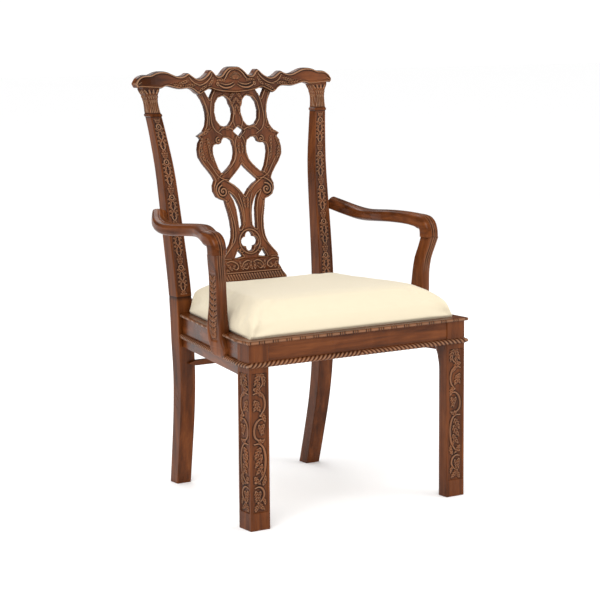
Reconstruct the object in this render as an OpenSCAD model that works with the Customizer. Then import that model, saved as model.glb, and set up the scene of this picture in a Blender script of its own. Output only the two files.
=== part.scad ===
// Carved armchair with a lift-out seat. Millimetres, +Z up, the chair faces -Y.

/* [Overall] */
// Height to the top of the crest's centre dome
overall_h = 1020; // [860:2:1220]
// Depth, front moulding to the back of the crest
overall_d = 576; // [500:2:680]
// Spacing over the outer faces of the two front legs
front_w = 602; // [500:2:720]
// Spacing of the rear posts' centre lines at seat height
rear_w = 414; // [330:2:500]
// Front leg faces to the front of the rear posts at seat height
seat_d = 444; // [370:2:520]
// Top of the moulding that frames the seat
seat_h = 432; // [370:2:500]

/* [Front legs] */
// Side of the square front leg
leg_w = 51; // [42:1:62]
// Chamfer on the inner rear corner of each front leg
leg_chamfer = 18; // [8:1:24]
// Height over which the chamfer runs out below the rail
leg_runout = 70; // [30:2:110]
// Plain block at the foot of the carved panel
foot_block_h = 40; // [24:1:60]
// Plain margin round a sunk panel
panel_border = 5; // [3:0.5:9]
// Depth of a sunk panel
panel_sink = 2; // [1:0.25:3]

/* [Rear posts] */
// Width of a rear post at seat height
post_w = 42; // [34:1:52]
// Depth of a rear post at seat height
post_d = 40; // [32:1:50]
// How far the rear feet stand behind the posts at seat height
foot_kick = 44; // [10:1:80]
// How far each rear foot stands in from its post
foot_in = 15.5; // [0:0.5:30]
// How far each post leans out from the seat to the crest
post_flare = 36; // [10:1:60]
// Height of the collar ring above the floor, as a share of the post above the seat
ring_at = 0.88; // [0.8:0.005:0.93]
// How far the collar ring stands proud
ring_proud = 2.5; // [1:0.25:4]

/* [Seat rails] */
// Thickness of the front and side rails
rail_t = 34; // [28:1:44]
// How far the rail faces sit back from the leg faces
rail_set_back = 2.5; // [1:0.25:5]
// Front rail height
front_rail_h = 53.5; // [46:0.5:70]
// Side rail height
side_rail_h = 74; // [60:1:90]
// Back rail height
back_rail_h = 104; // [85:1:130]
// Top of the back rail above the seat moulding
back_rail_up = 28; // [12:1:50]
// Tenon thickness on every rail
tenon_t = 11; // [8:0.5:14]
// Tenon length
tenon_len = 26; // [16:1:30]
// Ledge that carries the lift-out seat, below the moulding's top
ledge_drop = 20; // [16:1:24]
// How far the side rail ends in from the post's outer face
side_rail_in = 13; // [8:0.5:16]

/* [Mouldings] */
// Thickness of the top moulding
lip_t = 7.5; // [6:0.5:10]
// Width of the top moulding
lip_w = 30; // [25:1:34]
// How far both mouldings stand out past the legs
moulding_out = 6.5; // [4:0.5:9]
// Underside of the rope moulding above the floor, as a drop below the seat moulding top
rope_drop = 61.5; // [55:0.5:72]

/* [Crest] */
// Crest rail width over the ears
crest_w = 563; // [500:1:640]
// Crest rail thickness
crest_t = 27; // [22:1:34]
// Rise of the centre dome above the posts' tops
crest_rise = 44; // [36:1:56]
// How far the crest bows back between the posts
crest_bow = 8; // [2:0.5:16]
// Lean of the crest and the splat
back_lean = 9.7; // [4:0.1:14]

/* [Splat] */
// Splat thickness
splat_t = 12; // [9:0.5:16]
// Splat width over its bulges
splat_w = 241; // [200:1:280]
// Front of the splat behind the front of the posts at seat height
splat_back = 12.5; // [8:0.5:20]
// Shoe height
shoe_h = 88; // [66:1:110]
// Shoe width at its foot
shoe_w = 180; // [150:2:210]

/* [Arms] */
// Centre of the arms above the floor at mid length
arm_h = 651; // [590:1:730]
// Arm width
arm_w = 43; // [34:1:52]
// Arm thickness
arm_t = 27; // [22:1:34]
// How far the arms' hands stand out past the front legs
arm_out = 21; // [8:1:40]
// Height of the joint between arm and support below the arm's centre
knuckle_drop = 39; // [30:1:50]
// Front of the arms behind the front legs' faces
arm_front = 118; // [100:1:150]
// Support width, seen from the front
support_w = 27; // [22:1:32]
// Support depth above the seat, seen from the side
support_d = 40; // [32:1:50]
// Support depth at its foot
support_foot_d = 60; // [46:1:72]

/* [Rear stay] */
// Height of the rear stay's centre above the floor
stay_h = 309.5; // [260:0.5:325]
// Rear stay height
stay_t = 13; // [8:0.5:18]
// Rear stay depth
stay_d = 12; // [8:0.5:16]

/* [Lift-out seat] */
// Seat frame thickness
seat_frame_t = 18; // [14:1:24]
// Width of the seat frame rails
seat_rail_w = 52; // [40:1:64]
// Height of the cushion's crown above the seat moulding
crown = 76; // [40:1:90]
// Height at which the cushion's edge starts to turn over
crown_edge = 36; // [15:1:45]
// How far the cushion swells out over the moulding
swell = 9; // [0:1:10]
// Cover cloth thickness
cover_t = 1.5; // [0.8:0.1:3]
// Webbing strap width
web_w = 50; // [36:1:58]
// Webbing strap thickness
web_t = 1.6; // [1:0.1:3]
// Gap between the covered seat and the frame round it
seat_gap = 1.5; // [0.8:0.1:4]

/* [Fits] */
// Glue gap round every tenon and dowel
glue_gap = 0.15; // [0.05:0.05:0.3]
// Screw shank
screw_d = 4; // [3:0.5:5]
// Screw head
screw_head_d = 8; // [6:0.5:10]

/* [Hidden] */
y0 = -overall_d/2 + moulding_out;
hw = front_w/2;
post_top = overall_h - crest_rise;
px0 = rear_w/2;
py0 = seat_d + post_d/2 + 0.5;
crest_y = overall_d - moulding_out - crest_t/2*cos(back_lean) - crest_rise*sin(back_lean);
post_rake = crest_y - 4.3 - py0;
lip_z = seat_h - lip_t;
ledge_z = seat_h - ledge_drop;
rope_z = seat_h - rope_drop;
rope_r = moulding_out;
side_end_x = px0 + post_w/2 - side_rail_in;
splay = atan((hw - rail_set_back - side_end_x)/(seat_d - leg_w));
tn = tan(splay);
splat_y = py0 - post_d/2 + splat_back;
splat_z0 = seat_h + 25;
// the splat runs from the back rail up into the crest, 3 mm in front of its middle
lean = (crest_y - 3 - splat_y)/(post_top - splat_z0);
back_top = seat_h + back_rail_up;
shoe_top = back_top + shoe_h;
back_y = seat_d + 2;
seat_rear = seat_d - 0.5 - seat_gap;
$fn = 40;

// ---- curves -------------------------------------------------------------
function cr(a, b, c, d, t) = 0.5*(2*b + (c - a)*t + (2*a - 5*b + 4*c - d)*t*t
  + (3*b - a - 3*c + d)*t*t*t);
function smooth(p, n = 3) = concat([for (i = [0:len(p) - 2]) for (k = [0:n - 1])
  cr(p[max(i - 1, 0)], p[i], p[i + 1], p[min(i + 2, len(p) - 1)], k/n)], [p[len(p) - 1]]);
function rev(p) = [for (i = [len(p) - 1:-1:0]) p[i]];
function flip(p) = rev([for (q = p) [-q[0], q[1]]]);
function at(p, z, i = 0) = i >= len(p) - 2 || p[i + 1][0] >= z
  ? p[i] + (p[i + 1] - p[i])*(z - p[i][0])/(p[i + 1][0] - p[i][0]) : at(p, z, i + 1);

// A piece sawn from two templates: front in (x,z), side in (y,z)
module front_cut(p) translate([0, 900, 0]) rotate([90, 0, 0]) linear_extrude(1200) polygon(p);
module side_cut(p) translate([-500, 0, 0]) rotate([90, 0, 90]) linear_extrude(1000) polygon(p);
module sawn(f, s) intersection() { front_cut(f); side_cut(s); }
module place() translate([0, y0, 0]) children();
module both() { children(); mirror([1, 0, 0]) children(); }

// ---- rear posts: [height share, lean out share, lean back share, width, depth] ----
lower = [[0, 1, 1, 0.92, 0.89], [0.21, 0.71, 0.557, 0.94, 0.91], [0.42, 0.45, 0.16, 0.96, 0.94],
  [0.64, 0.25, -0.06, 0.98, 0.97], [0.84, 0.11, -0.02, 1, 1], [1, 0, 0, 1, 1]];
upper = [[0.135, 0.07, 0.056, 0.99, 0.99], [0.31, 0.18, 0.22, 0.95, 0.95],
  [0.475, 0.27, 0.395, 0.9, 0.9], [0.64, 0.4, 0.565, 0.84, 0.85], [0.8, 0.7, 0.735, 0.75, 0.77],
  [0.88, 0.89, 0.83, 0.71, 0.73]];
neck = [[0.905, 0.93, 0.865, 0.66, 0.7], [0.94, 0.97, 0.915, 0.66, 0.68], [0.965, 0.99, 0.95, 0.8, 0.7],
  [0.985, 1, 0.975, 1.05, 0.72], [1, 1, 1, 1.26, 0.74]];
up_h = post_top - seat_h;
stations = concat(
  [for (s = lower) [s[0]*seat_h, px0 - foot_in*s[1], py0 + foot_kick*s[2], s[3]*post_w, s[4]*post_d]],
  [for (s = concat(upper, neck)) [seat_h + s[0]*up_h, px0 + post_flare*s[1], py0 + post_rake*s[2],
    s[3]*post_w, s[4]*post_d]]);
path = smooth(stations, 3);
function outline(p, i, h) = concat([for (s = p) [s[i] - s[h]/2, s[0]]],
  rev([for (s = p) [s[i] + s[h]/2, s[0]]]));
ring_z = seat_h + ring_at*up_h;
ring_s = at(path, ring_z);
panel = [for (s = path) if (s[0] > seat_h + 45 && s[0] < ring_z - 7) s];
module post_stock(extra = 0) {
  tall = concat(path, [path[len(path) - 1] + [extra, 0, lean*extra, 0, 0]]);
  sawn(outline(tall, 1, 3), outline(tall, 2, 4));
}
module post_panel() sawn(
  concat([for (s = panel) [s[1] - s[3]/2 + panel_border, s[0]]],
    rev([for (s = panel) [s[1] + s[3]/2 - panel_border, s[0]]])),
  concat([for (s = panel) [s[2] - s[4]/2 - 20, s[0]]],
    rev([for (s = panel) [s[2] - s[4]/2 + panel_sink, s[0]]])));
module post_right() place() difference() {
  union() {
    difference() { post_stock(6); crest_stock(); }
    translate([ring_s[1] - ring_s[3]/2 - ring_proud, ring_s[2] - ring_s[4]/2 - ring_proud, ring_z - 3.5])
      cube([ring_s[3] + 2*ring_proud, ring_s[4] + 2*ring_proud, 7]);
    crest_tenon(0);
  }
  post_panel();
  side_tenon(glue_gap);
  back_tenon(glue_gap);
  at_arm_screw() screw_hole(arm_screw_len, 2);
}

// ---- crest rail ---------------------------------------------------------
cs = crest_w/563;
ch = crest_rise/44;
crest_top = [[0, 44], [12, 43.5], [20, 40], [28, 32], [36, 23], [46, 19.5], [54, 21.5], [60, 28.5],
  [66, 35.5], [71, 33.5], [76, 27], [84, 21], [93, 16], [103, 13.5], [114, 16], [124, 22.5], [134, 28.5],
  [143, 24], [155, 20.5], [168, 21.5], [182, 27], [198, 33], [214, 34], [229, 30.5], [241, 25.5],
  [252, 25.5], [264, 24], [275, 17.5], [281.5, 7]];
crest_low = [[279, 0], [270, 0.5], [255, -1], [240, -2], [226, -3], [214, -3.5], [206, 0], [196, 1.5],
  [180, -2], [162, -6], [146, -5], [132, -5], [121, -10], [113, -17], [105, -20.5], [97, -16],
  [84, -10], [74, -6.5], [60, -11], [40, -15], [20, -17], [0, -18]];
function crest_half() = concat(smooth(crest_top, 2), smooth(crest_low, 2));
crest_front = let (h = [for (q = crest_half()) [q[0]*cs, q[1]*ch]], n = len(h))
  concat([for (i = [1:n - 2]) h[i]], [h[n - 1]], rev([for (i = [1:n - 2]) [-h[i][0], h[i][1]]]), [h[0]]);
bow = smooth([[0, 0], [70, -0.1], [140, -0.45], [205, -0.9], [243, -1], [284, -0.6]], 3);
crest_plan = let (b = [for (q = bow) [q[0]*cs, q[1]*crest_bow]],
    f = concat(flip(b), [for (i = [1:len(b) - 1]) b[i]]))
  concat([for (q = f) [q[0], q[1] - crest_t/2]], rev([for (q = f) [q[0], q[1] + crest_t/2]]));
module crest_stock() translate([0, crest_y, post_top]) rotate([-back_lean, 0, 0]) intersection() {
  translate([0, 200, 0]) rotate([90, 0, 0]) linear_extrude(400) polygon([for (q = crest_front)
    [q[0], q[1]/cos(back_lean) - (q[1] > 30 ? crest_t/2*tan(back_lean)*(q[1] - 30)/14/ch : 0)]]);
  translate([0, 0, -60]) linear_extrude(160) polygon(crest_plan);
}
module crest_tenon(g) translate([px0 + post_flare - 9 - g, py0 + post_rake - 4.5 - g, post_top - 6])
  cube([18 + 2*g, 9 + 2*g, 6 + 14 + g]);
module crest_rail() place() difference() {
  crest_stock();
  both() crest_tenon(glue_gap);
  splat_tenon_top(glue_gap);
}

// ---- splat and shoe: half outlines as [x, height above the shoe's top] ----
sx = splat_w/241;
sz = (post_top - 14 - shoe_top)/414;
function sp(q) = [q[0]*sx, shoe_top + q[1]*sz];
splat_edge = [[110, 420], [104, 404], [96, 391], [90.5, 377], [87.5, 360], [88, 344], [92, 328], [101, 315],
  [111, 309], [119, 305], [113, 300], [110, 296], [116.5, 287], [120.5, 271], [119.5, 253], [109, 235],
  [96, 219], [86, 205], [81.5, 195], [87.5, 182], [87.5, 168], [80.5, 154], [68, 147], [58, 144],
  [55.5, 132], [50.5, 112], [47.5, 92], [46.5, 72], [48.5, 54], [54.5, 38], [66, 23], [78, 10], [82, -2]];
half_splat = [for (q = splat_edge) sp(q)];
oval = [[36, 400], [50, 396], [60, 383], [64, 362], [61, 342], [51, 329], [38, 325], [26, 328], [16, 340],
  [11.5, 355], [12.5, 370], [18, 380], [20, 390], [27, 398]];
heart = [[17.5, 274], [22, 290], [33, 297], [46, 298], [51, 292], [53, 286], [60, 282.5], [68, 283],
  [75, 281], [78.5, 274], [79, 260], [75, 244], [68, 224], [60, 211], [52, 214], [42, 221], [30, 232],
  [22, 245], [18, 259]];
slot = [[46, 166], [34, 144], [28.5, 122], [26.5, 97], [25.5, 72], [20, 73], [14, 82], [14.5, 109], [18, 128],
  [25, 144], [34, 157]];
module pierce(p) both() polygon([for (q = p) sp(q)]);
module splat_face() difference() {
  polygon(concat(half_splat, rev([for (q = half_splat) [-q[0], q[1]]])));
  pierce([[57, 420], [88, 416], [74.5, 392]]);
  pierce(oval);
  polygon([for (q = [[0, 325], [16, 314], [0, 298], [-16, 314]]) sp(q)]);
  pierce(heart);
  polygon([for (q = [[0, 233], [9, 222], [24, 208], [43, 191], [28, 183], [14, 171], [5, 160], [0, 153],
    [-5, 160], [-14, 171], [-28, 183], [-43, 191], [-24, 208], [-9, 222]]) sp(q)]);
  pierce(slot);
  for (a = [0:90:270]) translate(sp([0, 42])) rotate(a) translate([13, 0]) circle(11);
  translate(sp([0, 42])) circle(12);
  pierce([[36, 23], [22, 6], [48, 1.5]]);
}
module leaned(x0, x1, y, z0, z1, t) translate([x0, 0, 0]) rotate([90, 0, 90]) linear_extrude(x1 - x0)
  polygon([[y + (z0 - splat_z0)*lean, z0], [y + (z1 - splat_z0)*lean, z1],
    [y + (z1 - splat_z0)*lean + t, z1], [y + (z0 - splat_z0)*lean + t, z0]]);
// the splat's tenons into the crest and the shoe
tenon_half = 62;
splat_gap = 0.05;
module splat_tenon_top(g)
  leaned(-tenon_half - g, tenon_half + g, splat_y + 1.5 - g, post_top - 22, post_top + 4 + g,
    splat_t - 3 + 2*g);
module splat_tenon_low(g)
  leaned(2 - tenon_half - g, tenon_half - 2 + g, splat_y + 2 - g, shoe_top - 16 - g, shoe_top + 3,
    splat_t - 4 + 2*g);
module face_cut() translate([0, 900, 0]) rotate([90, 0, 0]) linear_extrude(1200) children();
module splat() place() union() {
  difference() {
    intersection() {
      face_cut() splat_face();
      leaned(-200, 200, splat_y, shoe_top + splat_gap, overall_h, splat_t);
    }
    crest_stock();
  }
  intersection() {
    splat_tenon_low(0);
    translate([-200, 0, shoe_top - 16]) cube([400, 900, 19]);
  }
  intersection() {
    splat_tenon_top(0);
    face_cut() translate([0, post_top - 22]) square([2*tenon_half, 60], center = true);
    crest_stock();
  }
}
shoe_front = splat_y + lean*(shoe_top - splat_z0);
shoe_half = [[shoe_w/2, back_top], [shoe_w/2, back_top + 42], [shoe_w/2 - 7, shoe_top - 36],
  [shoe_w/2 - 13, shoe_top - 17], [shoe_w/2 - 10, shoe_top - 4], [shoe_w/2 - 12, shoe_top]];
shoe_side = [[back_y + 3, back_top], [back_y + 3, back_top + 40], [back_y + 9, shoe_top - 36],
  [shoe_front - 7, shoe_top - 18], [shoe_front - 4, shoe_top], [shoe_front + splat_t + 3, shoe_top],
  [back_y + 36, back_top + 40], [back_y + 36, back_top]];
module splat_shoe() place() difference() {
  sawn(concat(shoe_half, flip(shoe_half)), shoe_side);
  splat_tenon_low(glue_gap);
}

// ---- front legs ---------------------------------------------------------
panel_top = rope_z - 12;
module leg_panel() translate([panel_border, -1, foot_block_h])
  cube([leg_w - 2*panel_border, 1 + panel_sink, panel_top - foot_block_h]);
module front_leg_right() place() difference() {
  translate([hw - leg_w, 0, 0]) difference() {
    cube([leg_w, leg_w, lip_z]);
    leg_panel();
    translate([leg_w, 0, 0]) rotate([0, 0, 90]) leg_panel();
    // chamfer on the inner rear corner, running out below the rail
    translate([0, leg_w, 0]) rotate([0, 0, 45]) rotate([90, 0, 90]) translate([0, 0, -40])
      linear_extrude(80) polygon([[-leg_chamfer*0.7071, -1], [-leg_chamfer*0.7071, rope_z - leg_runout],
        [-leg_chamfer*0.66, rope_z - leg_runout*0.72], [-leg_chamfer*0.53, rope_z - leg_runout*0.42],
        [-leg_chamfer*0.3, rope_z - leg_runout*0.16], [0, rope_z - 6], [40, rope_z - 6], [40, -1]]);
  }
  both() front_tenon(glue_gap);
  side_tenon(glue_gap);
  seat_pocket();
  aimed(front_block_screw) screw(front_block_screw_len);
}
module seat_pocket() translate([0, 0, ledge_z]) linear_extrude(60) polygon(inner(lip_w - moulding_out));

// ---- rails --------------------------------------------------------------
// plan of one side, offset inwards by d from the leg faces, from the front corner to the posts
function side_x(y, d) = y <= leg_w ? hw - d : hw - d/cos(splay) - (y - leg_w)*tn + d*tn*0.5;
function inner(d) = [[-(hw - d), d], [hw - d, d], [side_x(leg_w + 1, d), leg_w + d*tn*0.5],
  [side_x(seat_d, d), seat_d], [-side_x(seat_d, d), seat_d], [-side_x(leg_w + 1, d), leg_w + d*tn*0.5],
  [-(hw - d), d]];
module front_tenon(g) translate([hw - leg_w - 1, rail_set_back + 9 - g, rope_z + 8 - g])
  cube([tenon_len + 1 + g, tenon_t + 2*g, ledge_z - rope_z - 14 + 2*g]);
module front_rail() place() difference() {
  union() {
    translate([-hw + leg_w, rail_set_back, lip_z - front_rail_h])
      cube([front_w - 2*leg_w, rail_t, front_rail_h]);
    both() front_tenon(0);
  }
  seat_pocket();
}
// rails are drawn along their own outer face: x along the rail from the leg, y inwards
module along_side() translate([hw - rail_set_back, leg_w, 0]) rotate([0, 0, 90 + splay]) children();
side_len = (seat_d + 0.5 - leg_w)/cos(splay);
side_tenon_h = 42;
module side_tenon_block(x, h, g) along_side() translate([x, 10 - g, ledge_z - 50 - g])
  cube([h, tenon_t + 2*g, side_tenon_h + 2*g]);
module side_tenon(g) {
  side_tenon_block(2 - tenon_len, tenon_len + 4, g);
  side_tenon_block(side_len - 4, tenon_len - 5, g);
}
// from height z0 to z1 and from depth d0 to d1 behind the rail's outer face
module side_body(z0, z1, d0, d1) {
  front_x = hw - rail_set_back;
  run = [-side_len*sin(splay), side_len*cos(splay)];
  p0 = [front_x - d0/cos(splay), leg_w];
  p1 = [front_x - d1/cos(splay), leg_w];
  translate([0, 0, z0]) linear_extrude(z1 - z0) polygon([p0, p0 + run, p1 + run, p1]);
}
module side_rail_right() place() difference() {
  union() {
    difference() {
      side_body(lip_z - side_rail_h, lip_z, 0, rail_t);
      post_stock(0);
    }
    difference() {
      side_tenon(0);
      translate([0, seat_d - 2, 0]) cube([px0 - post_w/2 + 3, 60, 600]);
    }
  }
  seat_pocket();
  at_support_screws() screw_hole(support_screw_len, 2);
}
module back_tenon(g) translate([px0 - post_w/2 - 1, back_y + 19 - g, ledge_z - 40 - g])
  cube([13 + 1 + g, 12 + 2*g, 70 + 2*g]);
module back_rail() place() difference() {
  union() {
    difference() {
      translate([-px0 - 10, back_y, back_top - back_rail_h]) cube([rear_w + 20, 38, back_rail_h]);
      both() post_stock(0);
    }
    both() back_tenon(0);
  }
  both() aimed(rear_block_screw) screw(rear_block_screw_len);
}
module rear_stay() place() difference() {
  translate([0, seat_d + 1.2, stay_h]) rotate([90, 0, 0]) linear_extrude(stay_d)
    polygon([[-px0 + 4, -1.5], [-px0 + 22, -stay_t/2], [px0 - 22, -stay_t/2], [px0 - 4, -1.5], [px0 - 4, 1],
      [px0 - 22, stay_t/2], [-px0 + 22, stay_t/2], [-px0 + 4, 1]]);
  both() post_stock(0);
}

// ---- mouldings ----------------------------------------------------------
o = moulding_out;
module lip_front() place() translate([0, 0, lip_z]) linear_extrude(lip_t)
  polygon([[-hw - o, -o], [hw + o, -o], [hw + o - lip_w, lip_w - o], [-hw - o + lip_w, lip_w - o]]);
module lip_right() place() difference() {
  translate([0, 0, lip_z]) linear_extrude(lip_t) polygon([[hw + o, -o], [side_x(0, -o), leg_w + 0.7],
    [side_x(seat_d + 0.5, -o), seat_d + 0.5], [side_x(seat_d + 0.5, lip_w - o), seat_d + 0.5],
    [side_x(leg_w + 1, lip_w - o), leg_w + (lip_w - o)*tn*0.5], [hw + o - lip_w, lip_w - o]]);
  support_stock(glue_gap);
  post_stock(0);
}
module rope_front() place() intersection() {
  union() {
    translate([-hw - o, 0, rope_z + rope_r]) rotate([0, 90, 0]) cylinder(r = rope_r, h = front_w + 2*o);
    translate([-hw + leg_w, -1, rope_z]) cube([front_w - 2*leg_w, rail_set_back + 1, 2*rope_r]);
  }
  union() {
    linear_extrude(900) polygon([[-hw - 30, -30], [hw + 30, -30], [hw, 0], [-hw, 0]]);
    translate([-hw + leg_w, -10, 0]) cube([front_w - 2*leg_w, rail_set_back + 10, 900]);
  }
}
// plan of the space on one side of the mitre between the leg's and the rail's lengths of rope
module past_mitre(dy) linear_extrude(900)
  polygon([[hw, leg_w], [hw + 20, leg_w + 20*tan(splay/2)], [hw + 20, leg_w + dy], [hw, leg_w + dy]]);
module rope_right() place() union() {
  difference() {
    translate([hw, -o, rope_z + rope_r]) rotate([-90, 0, 0]) cylinder(r = rope_r, h = leg_w + o + 3);
    translate([hw - 20, -20, 0]) cube([20, 100, 900]);
    linear_extrude(900) polygon([[-hw - 30, -30], [hw + 30, -30], [hw, 0], [-hw, 0]]);
    past_mitre(40);
  }
  difference() {
    translate([hw, leg_w, 0]) rotate([0, 0, splay]) union() {
      translate([0, -4, rope_z + rope_r]) rotate([-90, 0, 0]) cylinder(r = rope_r, h = side_len + 8);
      translate([-rail_set_back*cos(splay), 1, rope_z]) cube([rail_set_back*cos(splay), side_len, 2*rope_r]);
    }
    translate([hw, leg_w, 0]) rotate([0, 0, splay]) translate([-20 - rail_set_back*cos(splay), -30, 0])
      cube([20, 600, 900]);
    translate([hw - 30, leg_w - 60, 0]) cube([30, 60, 900]);
    past_mitre(-40);
    translate([0, seat_d + 0.5, 0]) cube([500, 100, 900]);
    post_stock(0);
  }
}

// ---- arms and supports --------------------------------------------------
hand_x = hw + arm_out - arm_w*0.46;
post_at_arm = at(path, arm_h + 25);
rear_x = post_at_arm[1] + post_at_arm[3]/2 + 8;
arm_len = post_at_arm[2] + 4 - arm_front;
// [share of length from the hand, share of the way in from the hand to the post, width share]
arm_xs = [for (q = smooth([[0, 0, 0.86], [0.07, 0.005, 0.92], [0.16, 0.125, 0.94], [0.25, 0.32, 0.96],
  [0.35, 0.51, 0.99], [0.45, 0.54, 1], [0.56, 0.455, 1], [0.66, 0.365, 0.97], [0.76, 0.35, 0.92],
  [0.87, 0.52, 0.86], [1, 1, 0.86]], 2)) [q[0], hand_x + (rear_x - hand_x)*q[1], q[2]]];
// [share of length from the hand, rise]
arm_zs = smooth([[0.16, -0.5], [0.25, 3], [0.35, 4], [0.45, 2], [0.56, -1], [0.66, -3], [0.76, -1.5],
  [0.87, 7], [1, 25]], 2);
function ay(s) = arm_front + s*arm_len;
arm_joint = arm_h - knuckle_drop;
arm_plan = concat([for (q = arm_xs) [q[1] - q[2]*arm_w/2, ay(q[0])]],
  rev([for (q = arm_xs) [q[1] + q[2]*arm_w/2, ay(q[0])]]));
knuckle = smooth([[arm_front + 2, arm_h - 8], [arm_front + 8, arm_h + 2], [arm_front + 18, arm_h + 9],
  [arm_front + 34, arm_h + 12.5]], 2);
arm_side = concat([[arm_front, arm_joint], [arm_front - 0.01, arm_h - 20]], knuckle,
  [for (q = arm_zs) [ay(q[0]), arm_h + q[1] + arm_t/2]],
  rev([for (q = arm_zs) if (q[0] > 0.19) [ay(q[0]), arm_h + q[1] - arm_t/2]]),
  [[arm_front + 50, arm_h - 18], [arm_front + 44, arm_h - 25], [arm_front + support_d, arm_joint]]);
module arm_right() place() difference() {
  intersection() {
    side_cut(arm_side);
    linear_extrude(2000) polygon(arm_plan);
  }
  post_stock(0);
  arm_dowel(glue_gap);
  at_arm_screw() screw_hole(arm_screw_len, 2);
}
foot_z = rope_z + 2*rope_r + 0.8;
sup_h = arm_joint - foot_z;
// the foot laps the side rail's outer face
foot_y = arm_front + 46;
foot_x = hw - rail_set_back - (foot_y - leg_w)*tn + 6.7;
// [height share, share of the way in from the hand to the foot, y from the arm's front, width, depth]
sup_base = smooth([[0.06, 1, 46, 1, 0.86], [0.13, 0.975, 47, 1, 1], [0.24, 0.93, 46, 1, 0.99],
  [0.36, 0.81, 42, 1, 0.86], [0.48, 0.76, 38.5, 1, 0.74], [0.62, 0.715, 37, 0.98, 0.67],
  [0.77, 0.57, 33, 0.97, 0.66], [0.9, 0.26, 26, 0.98, 0.66], [1, 0.07, 20, 1.05, 0.667]], 2);
sup_path = [for (s = sup_base) [foot_z + s[0]*sup_h, hand_x + (foot_x - hand_x)*s[1], arm_front + s[2],
  s[3]*support_w, s[4]*support_foot_d]];
function grow(p, g) = [for (s = p) [s[0], s[1], s[2], s[3] + 2*g, s[4] + 2*g]];
module support_stock(g = 0) {
  p = grow(sup_path, g);
  foot = sup_path[0];
  sawn(concat([[foot[1] - support_w*0.4 - g, foot_z]], [for (s = p) [s[1] - s[3]/2, s[0]]],
      rev([for (s = p) [s[1] + s[3]/2, s[0]]]), [[foot[1] + support_w*0.2 + g, foot_z]]),
    concat([[foot[2] - 13, foot_z], [foot[2] - 21, foot_z + 4]], [for (s = p) [s[2] - s[4]/2, s[0]]],
      rev([for (s = p) [s[2] + s[4]/2, s[0]]]), [[foot[2] + 18, foot_z + 6], [foot[2] + 6, foot_z]]));
}
module arm_support_right() place() difference() {
  support_stock();
  // laps over the side rail's outer face, with its shoulder on the top moulding
  side_body(0, seat_h, 0, 60);
  arm_dowel(glue_gap);
  at_support_screws() screw(support_screw_len);
}
module arm_dowel(g) for (dy = [10, 28]) translate([hand_x - 1.5, arm_front + dy, arm_joint - 14 - g])
  cylinder(d = 8 + 2*g, h = 28 + 2*g);
module arm_dowels() place() both() arm_dowel(0);
screw_head_t = 3;
module screw(h) {
  cylinder(d = screw_d, h = h);
  cylinder(d = screw_head_d, h = screw_head_t);
}
module screw_hole(h, back) {
  screw(h);
  translate([0, 0, -back]) cylinder(d = screw_head_d, h = back + screw_head_t);
}
// through the post into the arm's rear end, head on the post's inner face
arm_screw_len = post_at_arm[3] + 14;
module at_arm_screw() translate([post_at_arm[1] - post_at_arm[3]/2 + 0.8, post_at_arm[2] - 2, arm_h + 21])
  rotate([0, 90, 0]) children();
module arm_screws() place() both() at_arm_screw() screw(arm_screw_len);
// through the side rail from inside into the support's foot
support_screw_len = rail_t + 9;
module at_support_screws() for (k = [0, 1]) along_side()
  translate([(foot_y - leg_w - 10 + 20*k)/cos(splay), rail_t - 1, ledge_z - 12 - 8*k]) rotate([90, 0, 0])
    children();
module support_screws() place() both() at_support_screws() screw(support_screw_len);

// ---- corner blocks ------------------------------------------------------
block_h = 32;
block_leg = 62;
block_z = ledge_z - block_h/2;
// plan place and direction of the screws through the blocks, into the front legs and the back rail
front_block_screw = [hw - rail_t - 27, rail_set_back + rail_t + 40, -50];
rear_in = side_end_x - rail_t/cos(splay) - 0.3;
rear_block_screw = [rear_in - 28, seat_d - 18, 70];
front_block_screw_len = 50;
rear_block_screw_len = 38;
module aimed(s) translate([s[0], s[1], block_z]) rotate([0, 0, s[2]]) rotate([0, 90, 0]) children();
block_gap = 0.2;
module block_front_stock() translate([0, 0, ledge_z - block_h]) linear_extrude(block_h) {
  rail_in = hw - rail_set_back - rail_t/cos(splay) - block_gap;
  front_in = rail_set_back + rail_t;
  polygon([[rail_in - (front_in - leg_w)*tn, front_in + block_gap],
    [rail_in - (block_leg + rail_t - leg_w)*tn, block_leg + rail_t],
    [hw - 58 - block_leg, front_in + block_gap]]);
}
module corner_block_front_right() place() difference() {
  block_front_stock();
  translate([hw - leg_w - 0.3, -1, 0]) cube([60, leg_w + 1.3, 900]);
  aimed(front_block_screw) screw_hole(front_block_screw_len, 16);
}
// a rear block fills the corner between a side rail and the back rail, clear of the post
block_post_x = px0 - post_w/2 - foot_in*0.18;
module corner_block_rear_right() place() difference() {
  translate([0, 0, ledge_z - block_h]) linear_extrude(block_h)
    polygon([[rear_in, seat_d], [rear_in + (block_leg - 4)*tn, seat_d + 0.5 - (block_leg - 4)],
      [rear_in - block_leg, back_y - 0.2], [min(rear_in, block_post_x), back_y - 0.2]]);
  aimed(rear_block_screw) screw_hole(rear_block_screw_len, 16);
}
module corner_block_screws() place() both() {
  aimed(front_block_screw) screw(front_block_screw_len);
  aimed(rear_block_screw) screw(rear_block_screw_len);
}

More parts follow.
